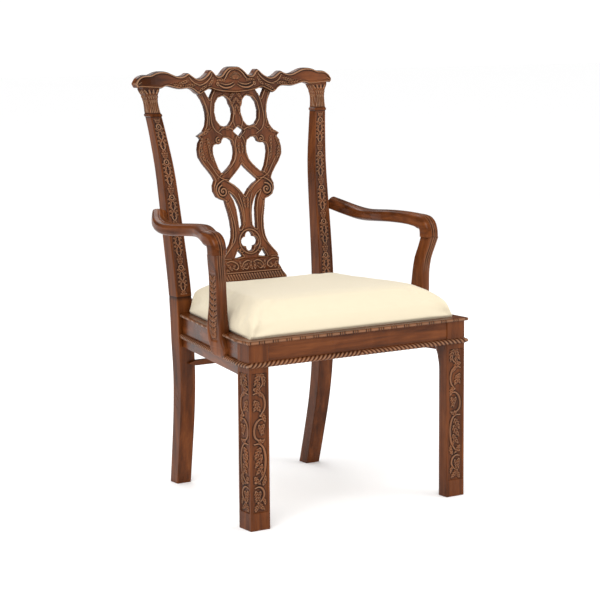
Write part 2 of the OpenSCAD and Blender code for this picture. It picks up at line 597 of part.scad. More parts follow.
// ---- lift-out seat ------------------------------------------------------
d_in = lip_w - moulding_out + seat_gap;
function seat_plan(d) = let (yr = seat_rear - (d - d_in), yk = leg_w + d*tn*0.5, xk = side_x(leg_w + 1, d))
  [[-(hw - d), d], [hw - d, d], [xk, yk], [side_x(yr, d), yr], [-side_x(yr, d), yr], [-xk, yk]];
df = d_in + cover_t;
frame_z = ledge_z + cover_t;
rw = seat_rail_w;
frame_top = frame_z + seat_frame_t;
module slab(z, t) translate([0, 0, z]) linear_extrude(t) children();
module seat_tenon(g) for (y = [df + rw - 22, seat_rear - cover_t - rw - 2])
  translate([side_x(y, df + rw/2) - 11 - g, y - g, frame_z + 5 - g]) cube([22 + 2*g, 24 + 2*g, 8 + 2*g]);
module frame_band(y1, y2) intersection() {
  slab(frame_z, seat_frame_t) polygon(seat_plan(df));
  translate([-500, y1, 0]) cube([1000, y2 - y1, 900]);
}
module seat_frame_front() place() difference() {
  frame_band(0, df + rw);
  both() seat_tenon(glue_gap);
  web_tack_set();
  cover_tack_set();
}
module seat_frame_back() place() difference() {
  frame_band(seat_rear - cover_t - rw, 600);
  both() seat_tenon(glue_gap);
  web_tack_set();
  cover_tack_set();
}
module seat_frame_right() place() difference() {
  union() {
    seat_side_stock();
    intersection() { seat_tenon(0); frame_band(0, 600); }
  }
  cross_tack_set();
}
module seat_side_stock() difference() {
  intersection() { frame_band(df + rw, seat_rear - cover_t - rw); cube([500, 900, 900]); }
  slab(0, 900) polygon(concat([[0, 0]],
    [for (y = [0, leg_w + 1, 600]) [side_x(max(y, leg_w + 1), df + rw), y]], [[0, 600]]));
}
web_z = frame_top;
web_xs = [-1, 0, 1]*110*rear_w/414;
function cross_web_y(i) = df + rw + 30 + i*(seat_rear - df - 2*rw - 60 - web_w)/2;
module webbing_lengthwise() place() difference() {
  for (x = web_xs) translate([x - web_w/2, df + 12, web_z]) cube([web_w, seat_rear - 2*12 - df, web_t]);
  web_tack_set();
}
module webbing_across() place() difference() {
  intersection() {
    for (i = [0:2]) translate([-500, cross_web_y(i), web_z + web_t + 0.1]) cube([1000, web_w, web_t]);
    slab(0, 900) polygon(seat_plan(df + 12));
  }
  both() cross_tack_set();
}
hess_z = web_z + 2*web_t + 1.3;
module hessian() place() slab(hess_z, 0.8) polygon(seat_plan(df + 6));
pad_z = hess_z + 0.9;
// the cushion: its front and side templates and its plans, all inset by i; it swells out above the moulding
module cushion(i, z0) {
  w2 = side_x(leg_w + 1, d_in - swell + i);
  ya = d_in - swell + i;
  yb = seat_rear - i;
  top = seat_h + crown - i;
  ez = seat_h + crown_edge;
  rise = top - ez;
  fr = [[w2, z0], [w2, ez - 18], [w2 - 2, ez - 6], [w2 - 7, ez + rise*0.25], [w2 - 18, ez + rise*0.52],
    [w2 - 38, ez + rise*0.78], [w2 - 75, ez + rise*0.94], [w2 - 130, top], [0, top]];
  sd = [[ya, z0], [ya, ez - 18], [ya + 3, ez - 5], [ya + 9, ez + rise*0.22], [ya + 22, ez + rise*0.45],
    [ya + 45, ez + rise*0.7], [ya + 90, ez + rise*0.9], [ya + 160, top], [yb - 130, top],
    [yb - 70, ez + rise*0.97], [yb - 26, ez + rise*0.88], [yb - 9, ez + rise*0.7], [yb - 2, ez + rise*0.45],
    [yb, ez], [yb, z0]];
  intersection() {
    front_cut(concat(fr, rev([for (q = fr) [-q[0], q[1]]])));
    side_cut(sd);
    union() {
      slab(0, seat_h + 1 + i) polygon(seat_plan(d_in + i));
      slab(seat_h + 1 + i, 300) polygon(seat_plan(d_in - swell + i));
    }
  }
}
module seat_pad() place() cushion(cover_t, pad_z);
module seat_cover() place() difference() {
  cushion(0, ledge_z);
  cushion(cover_t, frame_z);
  slab(ledge_z - 1, 20) polygon(seat_plan(df + 24));
  cover_tack_set();
}
tack_head_t = 1;
module tack() { cylinder(d = 1.6, h = 9); cylinder(d = 5, h = tack_head_t); }
module web_tack_set() for (x = web_xs) for (dx = [-15, 15]) for (y = [df + 20, seat_rear - 20])
  translate([x + dx, y, web_z + web_t + tack_head_t]) rotate([180, 0, 0]) tack();
module cross_tack_set() for (i = [0:2]) for (dy = [12, web_w - 12]) let (y = cross_web_y(i) + dy)
  translate([side_x(y, df + 22), y, web_z + 2*web_t + 0.1 + tack_head_t]) rotate([180, 0, 0]) tack();
module cover_tack_set() for (k = [-3:3]) for (y = [df + 14, seat_rear - cover_t - 12])
  translate([60*k*rear_w/414, y, ledge_z + cover_t - tack_head_t]) tack();
module webbing_tacks() place() { web_tack_set(); both() cross_tack_set(); }
module cover_tacks() place() cover_tack_set();

wood = [0.42, 0.2, 0.11];
inner_wood = [0.68, 0.5, 0.33];
steel = [0.6, 0.6, 0.62];
color(wood) mirror([1, 0, 0]) post_right();  // rear_post_left
color(wood) post_right();  // rear_post_right
color(wood) mirror([1, 0, 0]) front_leg_right();  // front_leg_left
color(wood) front_leg_right();
color(wood) front_rail();
color(wood) mirror([1, 0, 0]) side_rail_right();  // side_rail_left
color(wood) side_rail_right();
color(wood) back_rail();
color(wood) rear_stay();
color(wood) crest_rail();
color(wood) splat();
color(wood) splat_shoe();
color(wood) mirror([1, 0, 0]) arm_right();  // arm_left
color(wood) arm_right();
color(wood) mirror([1, 0, 0]) arm_support_right();  // arm_support_left
color(wood) arm_support_right();
color(wood) lip_front();
color(wood) mirror([1, 0, 0]) lip_right();  // lip_left
color(wood) lip_right();
color(wood) rope_front();
color(wood) mirror([1, 0, 0]) rope_right();  // rope_left
color(wood) rope_right();
color(inner_wood)  // corner_block_front_left
  mirror([1, 0, 0]) corner_block_front_right();
color(inner_wood) corner_block_front_right();
color(inner_wood)  // corner_block_rear_left
  mirror([1, 0, 0]) corner_block_rear_right();
color(inner_wood) corner_block_rear_right();
color(steel) corner_block_screws();
color(steel) arm_screws();
color(steel) support_screws();
color(inner_wood) arm_dowels();
color(inner_wood) seat_frame_front();
color(inner_wood) seat_frame_back();
color(inner_wood) mirror([1, 0, 0]) seat_frame_right();  // seat_frame_left
color(inner_wood) seat_frame_right();
color([0.75, 0.68, 0.52]) webbing_across();
color([0.75, 0.68, 0.52]) webbing_lengthwise();
color([0.7, 0.6, 0.42]) hessian();
color([0.9, 0.86, 0.7]) seat_pad();
color([0.95, 0.9, 0.78]) seat_cover();
color(steel) webbing_tacks();
color(steel) cover_tacks();
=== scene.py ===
"""The looks of a carved armchair: turned into finished wood and cloth round its CAD frame."""
import math

import bmesh
import bpy
import numpy as np
from bpy.props import FloatProperty, FloatVectorProperty, IntProperty, PointerProperty
from mathutils import Matrix, Vector


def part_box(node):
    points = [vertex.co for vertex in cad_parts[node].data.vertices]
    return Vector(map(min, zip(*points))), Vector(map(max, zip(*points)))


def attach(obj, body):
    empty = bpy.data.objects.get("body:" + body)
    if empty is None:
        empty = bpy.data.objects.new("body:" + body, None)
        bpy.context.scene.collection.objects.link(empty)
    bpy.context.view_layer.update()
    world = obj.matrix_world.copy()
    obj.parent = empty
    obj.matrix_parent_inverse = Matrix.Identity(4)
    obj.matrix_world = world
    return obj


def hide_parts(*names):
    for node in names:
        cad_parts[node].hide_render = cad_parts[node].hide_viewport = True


bl_info = {
    "name": "Carved Armchair",
    "version": (1, 0, 0),
    "blender": (4, 5, 0),
    "location": "View3D > Sidebar > Armchair",
    "description": "Carves and finishes a wooden armchair round its CAD frame",
    "category": "Object",
}

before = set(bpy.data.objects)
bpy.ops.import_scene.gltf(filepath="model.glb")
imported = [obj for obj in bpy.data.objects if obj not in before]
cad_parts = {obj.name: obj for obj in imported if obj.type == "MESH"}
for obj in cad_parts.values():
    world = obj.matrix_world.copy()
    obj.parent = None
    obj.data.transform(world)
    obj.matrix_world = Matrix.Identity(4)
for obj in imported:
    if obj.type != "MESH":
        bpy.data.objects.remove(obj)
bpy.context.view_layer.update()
MM = 0.001
DAYLIGHT = 1.07    # the surroundings' strength
GLOSS = 0.12    # their strength in reflections
AZIMUTH, ELEVATION, ROLL = (math.radians(angle) for angle in (-33.224, 8.263, -0.441))
CAMERA_TARGET = (-0.0115, -0.0519, 0.4818)
CAMERA_DISTANCE = 4.6333
LENS, SENSOR = 116.68, 36
CAMERA_SHIFT = (-0.0023, -0.0060)
LEAN = math.tan(math.radians(9.7))    # of the crest's face
SIDES = ((1, "right"), (-1, "left"))    # the sign of X on each side
RING_AT = 0.88    # height of the collar ring, as a share of the post above the seat
POST_SINK = 2.0    # depth of a post's carved face
TOE_DROP = 9    # how far a support's toe hangs below its CAD foot
TOE_TALL = 22    # height over which the toe turns in
CELL, QUICK_CELL = 5.0, 7.0    # cell sizes of the cushion
ROUNDING, EASING = 15, 5    # smoothing passes before and after the cushion is blown up
STUFFING_DROP = 0.09    # share by which the stuffing starts lower than the pad
AIR = 4    # pressure in the cushion
HELD_TO = 3    # the cloth is held up to this height above the moulding


# ---- what the frame says ------------------------------------------------------------------
def low(node):
    """Lowest corner of a CAD node, in millimetres."""
    return np.array(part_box(node)[0]) / MM


def high(node):
    """Highest corner of a CAD node, in millimetres."""
    return np.array(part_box(node)[1]) / MM


def triangles(node):
    """A CAD node's triangles as an array of corners, in millimetres."""
    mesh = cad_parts[node].data
    mesh.calc_loop_triangles()
    corners = np.empty(len(mesh.vertices) * 3)
    mesh.vertices.foreach_get("co", corners)
    index = np.empty(len(mesh.loop_triangles) * 3, dtype=np.int64)
    mesh.loop_triangles.foreach_get("vertices", index)
    return corners.reshape(-1, 3)[index].reshape(-1, 3, 3) / MM


def slices(node, axis, levels):
    """Lowest and highest corner of a CAD node's cross-section at each level along an axis."""
    tris = triangles(node)
    found = []
    for level in levels:
        side = tris[:, :, axis] - level
        points = []
        for a, b in ((0, 1), (1, 2), (2, 0)):
            cut = side[:, a] * side[:, b] < 0
            share = (side[cut, a] / (side[cut, a] - side[cut, b]))[:, None]
            points.append(tris[cut, a] + (tris[cut, b] - tris[cut, a]) * share)
        points = np.concatenate(points)
        found.append((points.min(0), points.max(0)))
    return np.array(found)


SEAT_H = high("lip_front")[2]
LEG_TOP = high("front_leg_right")[2]
LEG_W = high("front_leg_right")[0] - low("front_leg_right")[0]
ROPE_Z = low("rope_front")[2]
ROPE_R = (high("rope_front")[2] - ROPE_Z) / 2
POST_TOP = low("crest_rail")[2] + 20


# ---- curves and relief --------------------------------------------------------------------
def unit(value):
    """The value held between 0 and 1."""
    return np.clip(value, 0, 1)


def bell(offset, width):
    """A smooth hump, 1 in its middle and near 0 past twice its width."""
    return np.exp(-(offset / width) ** 2)


def curve(points, step=1.5):
    """A smooth line through given points, as an array of points about a step apart."""
    p = np.array(points, dtype=float)
    ends = np.concatenate([p[:1] * 2 - p[1:2], p, p[-1:] * 2 - p[-2:-1]])
    parts = []
    for a, b, c, d in zip(ends, ends[1:], ends[2:], ends[3:]):
        t = np.linspace(0, 1, max(2, int(np.linalg.norm(c - b) / step)), endpoint=False)[:, None]
        parts.append(0.5 * (2 * b + (c - a) * t + (2 * a - 5 * b + 4 * c - d) * t ** 2
                            + (3 * b - a - 3 * c + d) * t ** 3))
    return np.concatenate(parts + [p[-1:]])


def half_plan(side, base):
    """Draws curves on one side of the middle, from places out from it and up from a base."""
    return lambda points: curve([(side * out, base + up) for out, up in points])


def evened(line, passes):
    """The line with its small bumps taken out and its ends kept."""
    for _ in range(passes):
        line[1:-1] = (line[:-2] + 2 * line[1:-1] + line[2:]) / 4
    return line


def spiral(centre, radius, start, turns, end_radius=0.15):
    """A scroll's line, from its outside to its eye; start in degrees, turns signed."""
    t = np.linspace(0, 1, 26)
    angle = np.radians(start) + 2 * math.pi * turns * t
    r = radius * (1 - (1 - end_radius) * t ** 0.8)
    return np.stack([centre[0] + r * np.cos(angle), centre[1] + r * np.sin(angle)], 1)


class Relief:
    """A carver's height map, in millimetres, over a flat face: x across and z up."""

    def __init__(self, x0, x1, z0, z1, cell=0.5, mirror=1):
        self.x0, self.z0, self.cell, self.mirror = x0, z0, cell, mirror
        self.nx, self.nz = int((x1 - x0) / cell) + 1, int((z1 - z0) / cell) + 1
        self.h = np.zeros((self.nz, self.nx))

    def _window(self, points, pad):
        low_x, low_z = points.min(0) - pad
        high_x, high_z = points.max(0) + pad
        i0, i1 = (int(np.clip((v - self.x0) / self.cell, 0, self.nx)) for v in (low_x, high_x + 1))
        j0, j1 = (int(np.clip((v - self.z0) / self.cell, 0, self.nz)) for v in (low_z, high_z + 1))
        x = self.x0 + np.arange(i0, i1) * self.cell
        z = self.z0 + np.arange(j0, j1) * self.cell
        return (slice(j0, j1), slice(i0, i1)), np.stack(np.meshgrid(x, z), -1)

    def _along(self, points, pad):
        """The window round a line, with each cell's distance from it and share along it."""
        where, cells = self._window(points, pad)
        best = np.full(cells.shape[:2], 1e9)
        share = np.zeros_like(best)
        n = len(points) - 1
        for k, (a, b) in enumerate(zip(points, points[1:])):
            d = b - a
            t = unit(((cells - a) @ d) / max(d @ d, 1e-9))
            off = cells - a - t[..., None] * d
            dist = np.hypot(off[..., 0], off[..., 1])
            near = dist < best
            best = np.where(near, dist, best)
            share = np.where(near, (k + t) / n, share)
        return where, best, share

    def _points(self, points):
        p = np.array(points, dtype=float)
        p[:, 0] *= self.mirror
        return p

    def raise_to(self, where, h):
        self.h[where] = np.maximum(self.h[where], h)

    def ridge(self, points, width, height, ends=(0.4, 0.4)):
        """A rounded strand along a line, thinner towards its ends."""
        where, dist, t = self._along(self._points(points), width)
        w = width * np.interp(t, [0, 0.35, 0.65, 1], [ends[0], 1, 1, ends[1]])
        self.raise_to(where, height * np.sqrt(unit(1 - (dist / w) ** 2)))

    def groove(self, points, width, depth):
        """A V-tool cut along a line."""
        where, dist, t = self._along(self._points(points), width * 2)
        self.h[where] -= depth * unit(1 - dist / width) * unit(np.minimum(t, 1 - t) * 8)

    def leaf(self, points, width, height, lobes=4):
        """An acanthus leaf along a line from its base to its tip, with lobes and veins."""
        where, dist, t = self._along(self._points(points), width)
        body = np.sin(math.pi * unit(t) ** 0.75) ** 0.7
        edge = width * body * (0.68 + 0.32 * np.abs(np.cos(math.pi * lobes * t)))
        s = dist / np.maximum(edge, 1e-3)
        veins = 0.25 * np.cos(2 * math.pi * (lobes * t - 0.9 * s))
        h = height * np.sqrt(unit(1 - s ** 2)) * (0.85 + veins)
        h = h - 0.35 * height * bell(dist, 0.7) * (s < 1)
        self.raise_to(where, np.where((t > 0.005) & (t < 0.995), h, 0))

    def berry(self, centre, radius, height):
        """A round bead."""
        c = self._points([centre])
        where, cells = self._window(c, radius)
        r = np.hypot(*np.moveaxis(cells - c[0], -1, 0)) / radius
        self.raise_to(where, height * np.sqrt(unit(1 - r ** 2)))

    def ring(self, centre, radius, width, height, squeeze=1.0):
        """A rounded hoop."""
        a = np.linspace(0, 2 * math.pi, 25)
        line = np.stack([centre[0] + radius * squeeze * np.cos(a), centre[1] + radius * np.sin(a)], 1)
        self.ridge(line, width, height, ends=(1, 1))

    def flower(self, centre, radius, height, petals=5):
        """A rosette with a bead at its heart."""
        c = self._points([centre])
        where, cells = self._window(c, radius)
        off = cells - c[0]
        r = np.hypot(off[..., 0], off[..., 1]) / radius
        a = np.arctan2(off[..., 1], off[..., 0])
        lobe = np.abs(np.cos(a * petals / 2))
        petal = unit(1 - (r / (0.72 + 0.28 * lobe)) ** 4) * (0.45 + 0.55 * lobe) * (0.6 + 0.4 * r)
        self.raise_to(where, height * petal)
        self.berry(centre, radius * 0.28, height * 1.1)

    def scroll(self, centre, radius, start, turns, width, height):
        """A curled end with an eye."""
        self.ridge(spiral(centre, radius, start, turns), width, height, ends=(0.9, 0.6))
        self.berry(centre, width * 1.1, height * 1.15)

    def gouges(self, points, count, length, width, depth, slant=60):
        """A row of short cuts set slantwise along a line."""
        line = curve(points, 1.0)
        for t in np.linspace(0.04, 0.96, count):
            k = min(int(t * (len(line) - 1)), len(line) - 2)
            d = line[k + 1] - line[k]
            a = math.atan2(d[1], d[0]) + math.radians(slant)
            tip = line[k] + length * np.array([math.cos(a), math.sin(a)])
            self.groove([line[k], (line[k] + tip) / 2, tip], width, depth)

    def blurred(self, radius):
        """The map softened over a radius in millimetres."""
        fz = np.fft.fftfreq(self.nz, self.cell)[:, None]
        fx = np.fft.rfftfreq(self.nx, self.cell)[None, :]
        keep = np.exp(-2 * (math.pi * radius) ** 2 * (fx ** 2 + fz ** 2))
        return np.fft.irfft2(np.fft.rfft2(self.h) * keep, s=self.h.shape)

    def at(self, x, z, grid=None):
        """The height at points of the face, between cells in proportion."""
        grid = self.h if grid is None else grid
        i = np.clip((x - self.x0) / self.cell, 0, self.nx - 1.001)
        j = np.clip((z - self.z0) / self.cell, 0, self.nz - 1.001)
        i0, j0 = i.astype(int), j.astype(int)
        u, v = i - i0, j - j0
        return ((grid[j0, i0] * (1 - u) + grid[j0, i0 + 1] * u) * (1 - v)
                + (grid[j0 + 1, i0] * (1 - u) + grid[j0 + 1, i0 + 1] * u) * v)

    def recess(self, x, z, depth):
        """How deep a point lies under its surroundings, from 0 to 1."""
        return unit((self.at(x, z, self.blurred(2.2)) - self.at(x, z)) / depth)

    def crest(self, x, z, depth):
        """How far a point stands over its surroundings, from 0 to 1."""
        return unit((self.at(x, z) - self.at(x, z, self.blurred(1.6))) / depth)


# ---- meshes -------------------------------------------------------------------------------
def wrap(name, place, across, along, closed=True):
    """A tube of a grid's cells, set by place(column, row), which gives points and the painted shade and
    highlight.
    """
    bm = bmesh.new()
    bmesh.ops.create_grid(bm, x_segments=across, y_segments=along, size=0.5)
    mesh = bpy.data.meshes.new(name)
    bm.to_mesh(mesh)
    bm.free()
    flat = np.empty(len(mesh.vertices) * 3)
    mesh.vertices.foreach_get("co", flat)
    flat = flat.reshape(-1, 3) + 0.5
    columns = len(np.unique(np.round(flat[:, 0], 6)))
    rows = len(np.unique(np.round(flat[:, 1], 6)))
    column = np.rint(flat[:, 0] * (columns - 1)).astype(int)
    row = np.rint(flat[:, 1] * (rows - 1)).astype(int)
    if closed:
        column = column % (columns - 1)
    points, recess, worn = place(column, row)
    put(mesh, points)
    store_painted_light(mesh, recess, worn)
    bm = bmesh.new()
    bm.from_mesh(mesh)
    bmesh.ops.remove_doubles(bm, verts=bm.verts, dist=2e-6)
    bmesh.ops.holes_fill(bm, edges=[e for e in bm.edges if e.is_boundary], sides=0)
    bmesh.ops.recalc_face_normals(bm, faces=bm.faces)
    bm.to_mesh(mesh)
    bm.free()
    return mesh


class Section:
    """Columns round a rounded rectangle, from runs of (front, right, back, left) cells."""

    def __init__(self, front, right, back, left, corner=3):
        ex, ey, cx, cy, face = [], [], [], [], []
        sides = ((front, (-1, -1), (1, -1), -90), (right, (1, -1), (1, 1), 0),
                 (back, (1, 1), (-1, 1), 90), (left, (-1, 1), (-1, -1), 180))
        for k, (cells, a, b, turn) in enumerate(sides):
            for t in np.linspace(0, 1, cells + 1):
                ex.append(a[0] + (b[0] - a[0]) * t)
                ey.append(a[1] + (b[1] - a[1]) * t)
                cx.append(math.cos(math.radians(turn)))
                cy.append(math.sin(math.radians(turn)))
                face.append(k)
            for t in np.linspace(0, 90, corner + 1)[1:-1]:
                ex.append(b[0])
                ey.append(b[1])
                cx.append(math.cos(math.radians(turn + t)))
                cy.append(math.sin(math.radians(turn + t)))
                face.append(-1)
        self.ex, self.ey, self.cx, self.cy = map(np.array, (ex, ey, cx, cy))
        self.face = np.array(face)
        self.count = len(ex)

    def around(self, column, half_x, half_y, radius, lift=0.0):
        """Offsets from the section's centre for these columns; lift moves points outwards."""
        x = self.ex[column] * (half_x - radius) + self.cx[column] * (radius + lift)
        y = self.ey[column] * (half_y - radius) + self.cy[column] * (radius + lift)
        return x, y


def finish(context, mesh, material, body, replaced, smooth=38):
    """A finished piece from a mesh: shaded, coloured, riding on its body, in its node's place."""
    mesh.shade_smooth()
    mesh.set_sharp_from_angle(angle=math.radians(smooth))
    piece = bpy.data.objects.new(mesh.name, mesh)
    context.scene.collection.objects.link(piece)
    mesh.materials.clear()
    mesh.materials.append(material)
    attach(piece, body)
    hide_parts(*replaced)
    return piece


def carved(context, mesh, node, grain, smooth=38):
    """A finished mahogany piece of the frame in its node's place, with its grain along an axis."""
    wood = library(context)["mahogany_along_" + grain]
    return finish(context, mesh, wood, "frame", [node], smooth)


def copy_of(node, name):
    """A merged copy of a CAD node's mesh."""
    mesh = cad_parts[node].data.copy()
    mesh.name = name
    bm = bmesh.new()
    bm.from_mesh(mesh)
    bmesh.ops.remove_doubles(bm, verts=bm.verts, dist=1e-6)
    bmesh.ops.recalc_face_normals(bm, faces=bm.faces)
    bm.to_mesh(mesh)
    bm.free()
    return mesh


def remeshed(context, mesh, voxel):
    """The mesh rebuilt from even cells of a voxel's size, in millimetres."""
    proxy = bpy.data.objects.new("proxy", mesh)
    context.scene.collection.objects.link(proxy)
    cells = proxy.modifiers.new("cells", "REMESH")
    cells.mode = "VOXEL"
    cells.voxel_size = voxel * MM
    graph = context.evaluated_depsgraph_get()
    out = bpy.data.meshes.new_from_object(proxy.evaluated_get(graph))
    name = mesh.name
    bpy.data.objects.remove(proxy)
    mesh.name = "old_" + name
    out.name = name
    return out


def arrays(mesh):
    """Vertex places in millimetres and their normals."""
    co = np.empty(len(mesh.vertices) * 3)
    mesh.vertices.foreach_get("co", co)
    normal = np.empty(len(mesh.vertices) * 3)
    mesh.vertex_normals.foreach_get("vector", normal)
    return co.reshape(-1, 3) / MM, normal.reshape(-1, 3)


def put(mesh, points):
    """Sets the vertex places, in millimetres."""
    mesh.vertices.foreach_set("co", (points * MM).ravel())


def store_painted_light(mesh, recess, worn):
    """Stores the painted shade (recess) and painted highlight per vertex, which the wood's finish reads."""
    for title, values in (("recess", recess), ("worn", worn)):
        layer = mesh.attributes.new(title, "FLOAT", "POINT")
        layer.data.foreach_set("value", np.broadcast_to(values, (len(mesh.vertices),)).astype(np.float32))


# ---- materials ----------------------------------------------------------------------------
class Value:
    """A number socket that Python's operators join up with Math nodes."""

    def __init__(self, shop, socket):
        self.shop, self.socket = shop, socket

    def _math(self, operation, *values):
        return self.shop.node("ShaderNodeMath", {"operation": operation}, dict(enumerate(values)))

    def __add__(self, other):
        return self._math("ADD", self, other)

    def __mul__(self, other):
        return self._math("MULTIPLY", self, other)

    __radd__ = __add__
    __rmul__ = __mul__

    def clamp(self):
        return self.shop.node("ShaderNodeClamp", {}, {0: self})


class Shop:
    """A material's node tree, built by name."""

    def __init__(self, name):
        self.material = bpy.data.materials.new(name)
        self.material.use_nodes = True
        self.tree = self.material.node_tree
        self.tree.nodes.clear()

    def node(self, kind, settings, inputs, output=0):
        """Adds a node: its settings first, then its sockets' values or links."""
        made = self.tree.nodes.new(kind)
        for name, value in settings.items():
            if name == "stops":
                ramp = made.color_ramp
                while len(ramp.elements) < len(value):
                    ramp.elements.new(0.5)
                for element, (place, colour) in zip(ramp.elements, value):
                    element.position = place
                    element.color = (*colour, 1)
            else:
                setattr(made, name, value)
        for key, value in inputs.items():
            if isinstance(value, Value):
                self.tree.links.new(value.socket, made.inputs[key])
            elif isinstance(value, (tuple, list)) and len(value) == 3 and made.inputs[key].type == "RGBA":
                made.inputs[key].default_value = (*value, 1)
            else:
                made.inputs[key].default_value = value
        return Value(self, made.outputs[output])

    def object_at(self, scale, turn=(0, 0, 0)):
        """Object coordinates, scaled and turned."""
        place = self.node("ShaderNodeTexCoord", {}, {}, "Object")
        return self.node("ShaderNodeMapping", {}, {"Vector": place, "Scale": scale, "Rotation": turn})

    def noise(self, place, detail=4, rough=0.55, warp=0.0, scale=1.0):
        return self.node("ShaderNodeTexNoise", {}, {"Vector": place, "Scale": scale, "Detail": detail,
                                                    "Roughness": rough, "Distortion": warp}, "Fac")

    def ramp(self, fac, *stops):
        return self.node("ShaderNodeValToRGB", {"stops": stops}, {"Fac": fac}, "Color")

    def level(self, value, a, b, c=0.0, d=1.0):
        return self.node("ShaderNodeMapRange", {}, {"Value": value, "From Min": a, "From Max": b,
                                                    "To Min": c, "To Max": d})

    def mix(self, fac, a, b, blend="MIX"):
        made = self.tree.nodes.new("ShaderNodeMix")
        made.data_type = "RGBA"
        made.blend_type = blend
        for socket, value in ((0, fac), (6, a), (7, b)):
            if isinstance(value, Value):
                self.tree.links.new(value.socket, made.inputs[socket])
            else:
                made.inputs[socket].default_value = (*value, 1) if isinstance(value, (tuple, list)) else value
        return Value(self, made.outputs[2])

    def attribute(self, name):
        return self.node("ShaderNodeAttribute", {"attribute_name": name}, {}, "Fac")

    def surface(self, **inputs):
        sockets = {name.replace("_", " "): value for name, value in inputs.items()}
        shader = self.node("ShaderNodeBsdfPrincipled", {}, sockets)
        out = self.tree.nodes.new("ShaderNodeOutputMaterial")
        self.tree.links.new(shader.socket, out.inputs["Surface"])
        return self.material

    def bump(self, height, strength, distance):
        return self.node("ShaderNodeBump", {}, {"Height": height, "Strength": strength, "Distance": distance})


def mahogany(colours, grain):
    """Polished mahogany with its grain along one axis, its hollows painted dark as shade and its ridges
    painted pale as highlight.
    """
    shop = Shop("mahogany_along_" + grain)
    long, fine, pore = 5.0, 70.0, 1100.0
    stretch = {"x": (long, fine, fine), "y": (fine, long, fine), "z": (fine, fine, long)}[grain]
    pores = {"x": (45, pore, pore), "y": (pore, 45, pore), "z": (pore, pore, 45)}[grain]
    streaks = shop.noise(shop.object_at(stretch), 6, 0.6, 0.4)
    cloud = shop.noise(shop.object_at((7, 7, 7)), 3, 0.5, 0.6)
    pitting = shop.noise(shop.object_at(pores), 2, 0.5)
    recess = shop.attribute("recess")
    worn = shop.attribute("worn")
    tone = (streaks * 0.62 + cloud * 0.38)
    dark, mid, light = (tuple(c) for c in (colours.dark, colours.middle, colours.light))
    wood = shop.ramp(tone, (0.34, dark), (0.50, mid), (0.66, light))
    wood = shop.mix(shop.level(pitting, 0.60, 0.72) * 0.35, wood, tuple(v * 0.35 for v in dark))
    # painted highlight: ridges and bead crowns mixed towards a pale colour in place of their shine
    wood = shop.mix((worn * 0.65).clamp(), wood, tuple(colours.highlight_tint))
    # painted shade: hollows, grooves and sunk walls mixed towards near-black
    wood = shop.mix((recess * 1.3).clamp(), wood, tuple(colours.shade_tint))
    rough = shop.level(cloud, 0.3, 0.7, 0.22, 0.32) + recess * 0.3 + pitting * 0.05
    height = streaks * 0.25 + pitting * 0.5
    return shop.surface(Base_Color=wood, Roughness=rough, Normal=shop.bump(height, 0.12, 0.0004),
                        Coat_Weight=0.06, Coat_Roughness=0.1, Specular_IOR_Level=0.12)


def bare_wood(colours):
    """Unpolished beech of the hidden parts."""
    shop = Shop("bare_beech")
    streaks = shop.noise(shop.object_at((8, 90, 90)), 6, 0.6, 0.3)
    fleck = shop.noise(shop.object_at((120, 900, 900)), 2)
    wood = shop.ramp(streaks, (0.3, tuple(v * 0.72 for v in colours.beech)), (0.7, tuple(colours.beech)))
    wood = shop.mix(shop.level(fleck, 0.6, 0.7) * 0.3, wood, tuple(v * 0.5 for v in colours.beech))
    return shop.surface(Base_Color=wood, Roughness=shop.level(fleck, 0.3, 0.7, 0.62, 0.78),
                        Normal=shop.bump(streaks + fleck * 0.5, 0.2, 0.0004))


def steel():
    """Bright screws and tacks."""
    shop = Shop("bright_steel")
    scratch = shop.noise(shop.object_at((900, 900, 200)), 3)
    colour = shop.ramp(scratch, (0.3, (0.34, 0.34, 0.35)), (0.7, (0.6, 0.6, 0.62)))
    return shop.surface(Base_Color=colour, Metallic=1.0, Roughness=shop.level(scratch, 0.3, 0.7, 0.28, 0.45),
                        Normal=shop.bump(scratch, 0.1, 0.0002))


def woven(name, colour, pitch, depth, dirt=0.12):
    """Plain-woven cloth: threads over and under each way, at a pitch in millimetres."""
    shop = Shop(name)
    turns = 2 * math.pi / (pitch * MM)
    place = shop.node("ShaderNodeTexCoord", {}, {}, "Object")
    split = shop.tree.nodes.new("ShaderNodeSeparateXYZ")
    shop.tree.links.new(place.socket, split.inputs[0])
    x, y, z = (Value(shop, split.outputs[k]) for k in range(3))
    wave = [shop.node("ShaderNodeMath", {"operation": "SINE"}, {0: v * turns}) for v in (x, y, z)]
    weave = wave[0] * wave[1] + (wave[0] + wave[1]) * wave[2] * 0.5
    slub = shop.noise(shop.object_at((40, 40, 40)), 5, 0.6)
    nap = shop.noise(shop.object_at((1500, 1500, 1500)), 2)
    tint = shop.level(weave, -1, 1, 0, 0.5) * 0.5 + slub * 0.5
    cloth = shop.ramp(tint, (0.15, tuple(v * (1 - dirt) for v in colour)), (0.75, tuple(colour)))
    return shop.surface(Base_Color=cloth, Roughness=shop.level(slub, 0.3, 0.7, 0.78, 0.9),
                        Normal=shop.bump(weave * 0.5 + nap * 0.4, depth, 0.0004),
                        Sheen_Weight=0.25, Sheen_Roughness=0.4, Specular_IOR_Level=0.25)


def library(context):
    """The finishes, made once."""
    colours = context.scene.armchair_colours
    if "mahogany_along_z" not in bpy.data.materials:
        for grain in "xyz":
            mahogany(colours, grain)
        bare_wood(colours)
        steel()
        woven("cream_linen", tuple(colours.cloth), 0.9, 0.25, 0.05)
        woven("jute_web", (0.50, 0.38, 0.22), 2.4, 0.6, 0.3)
        woven("hessian_cloth", (0.42, 0.31, 0.17), 1.8, 0.6, 0.3)
    return bpy.data.materials


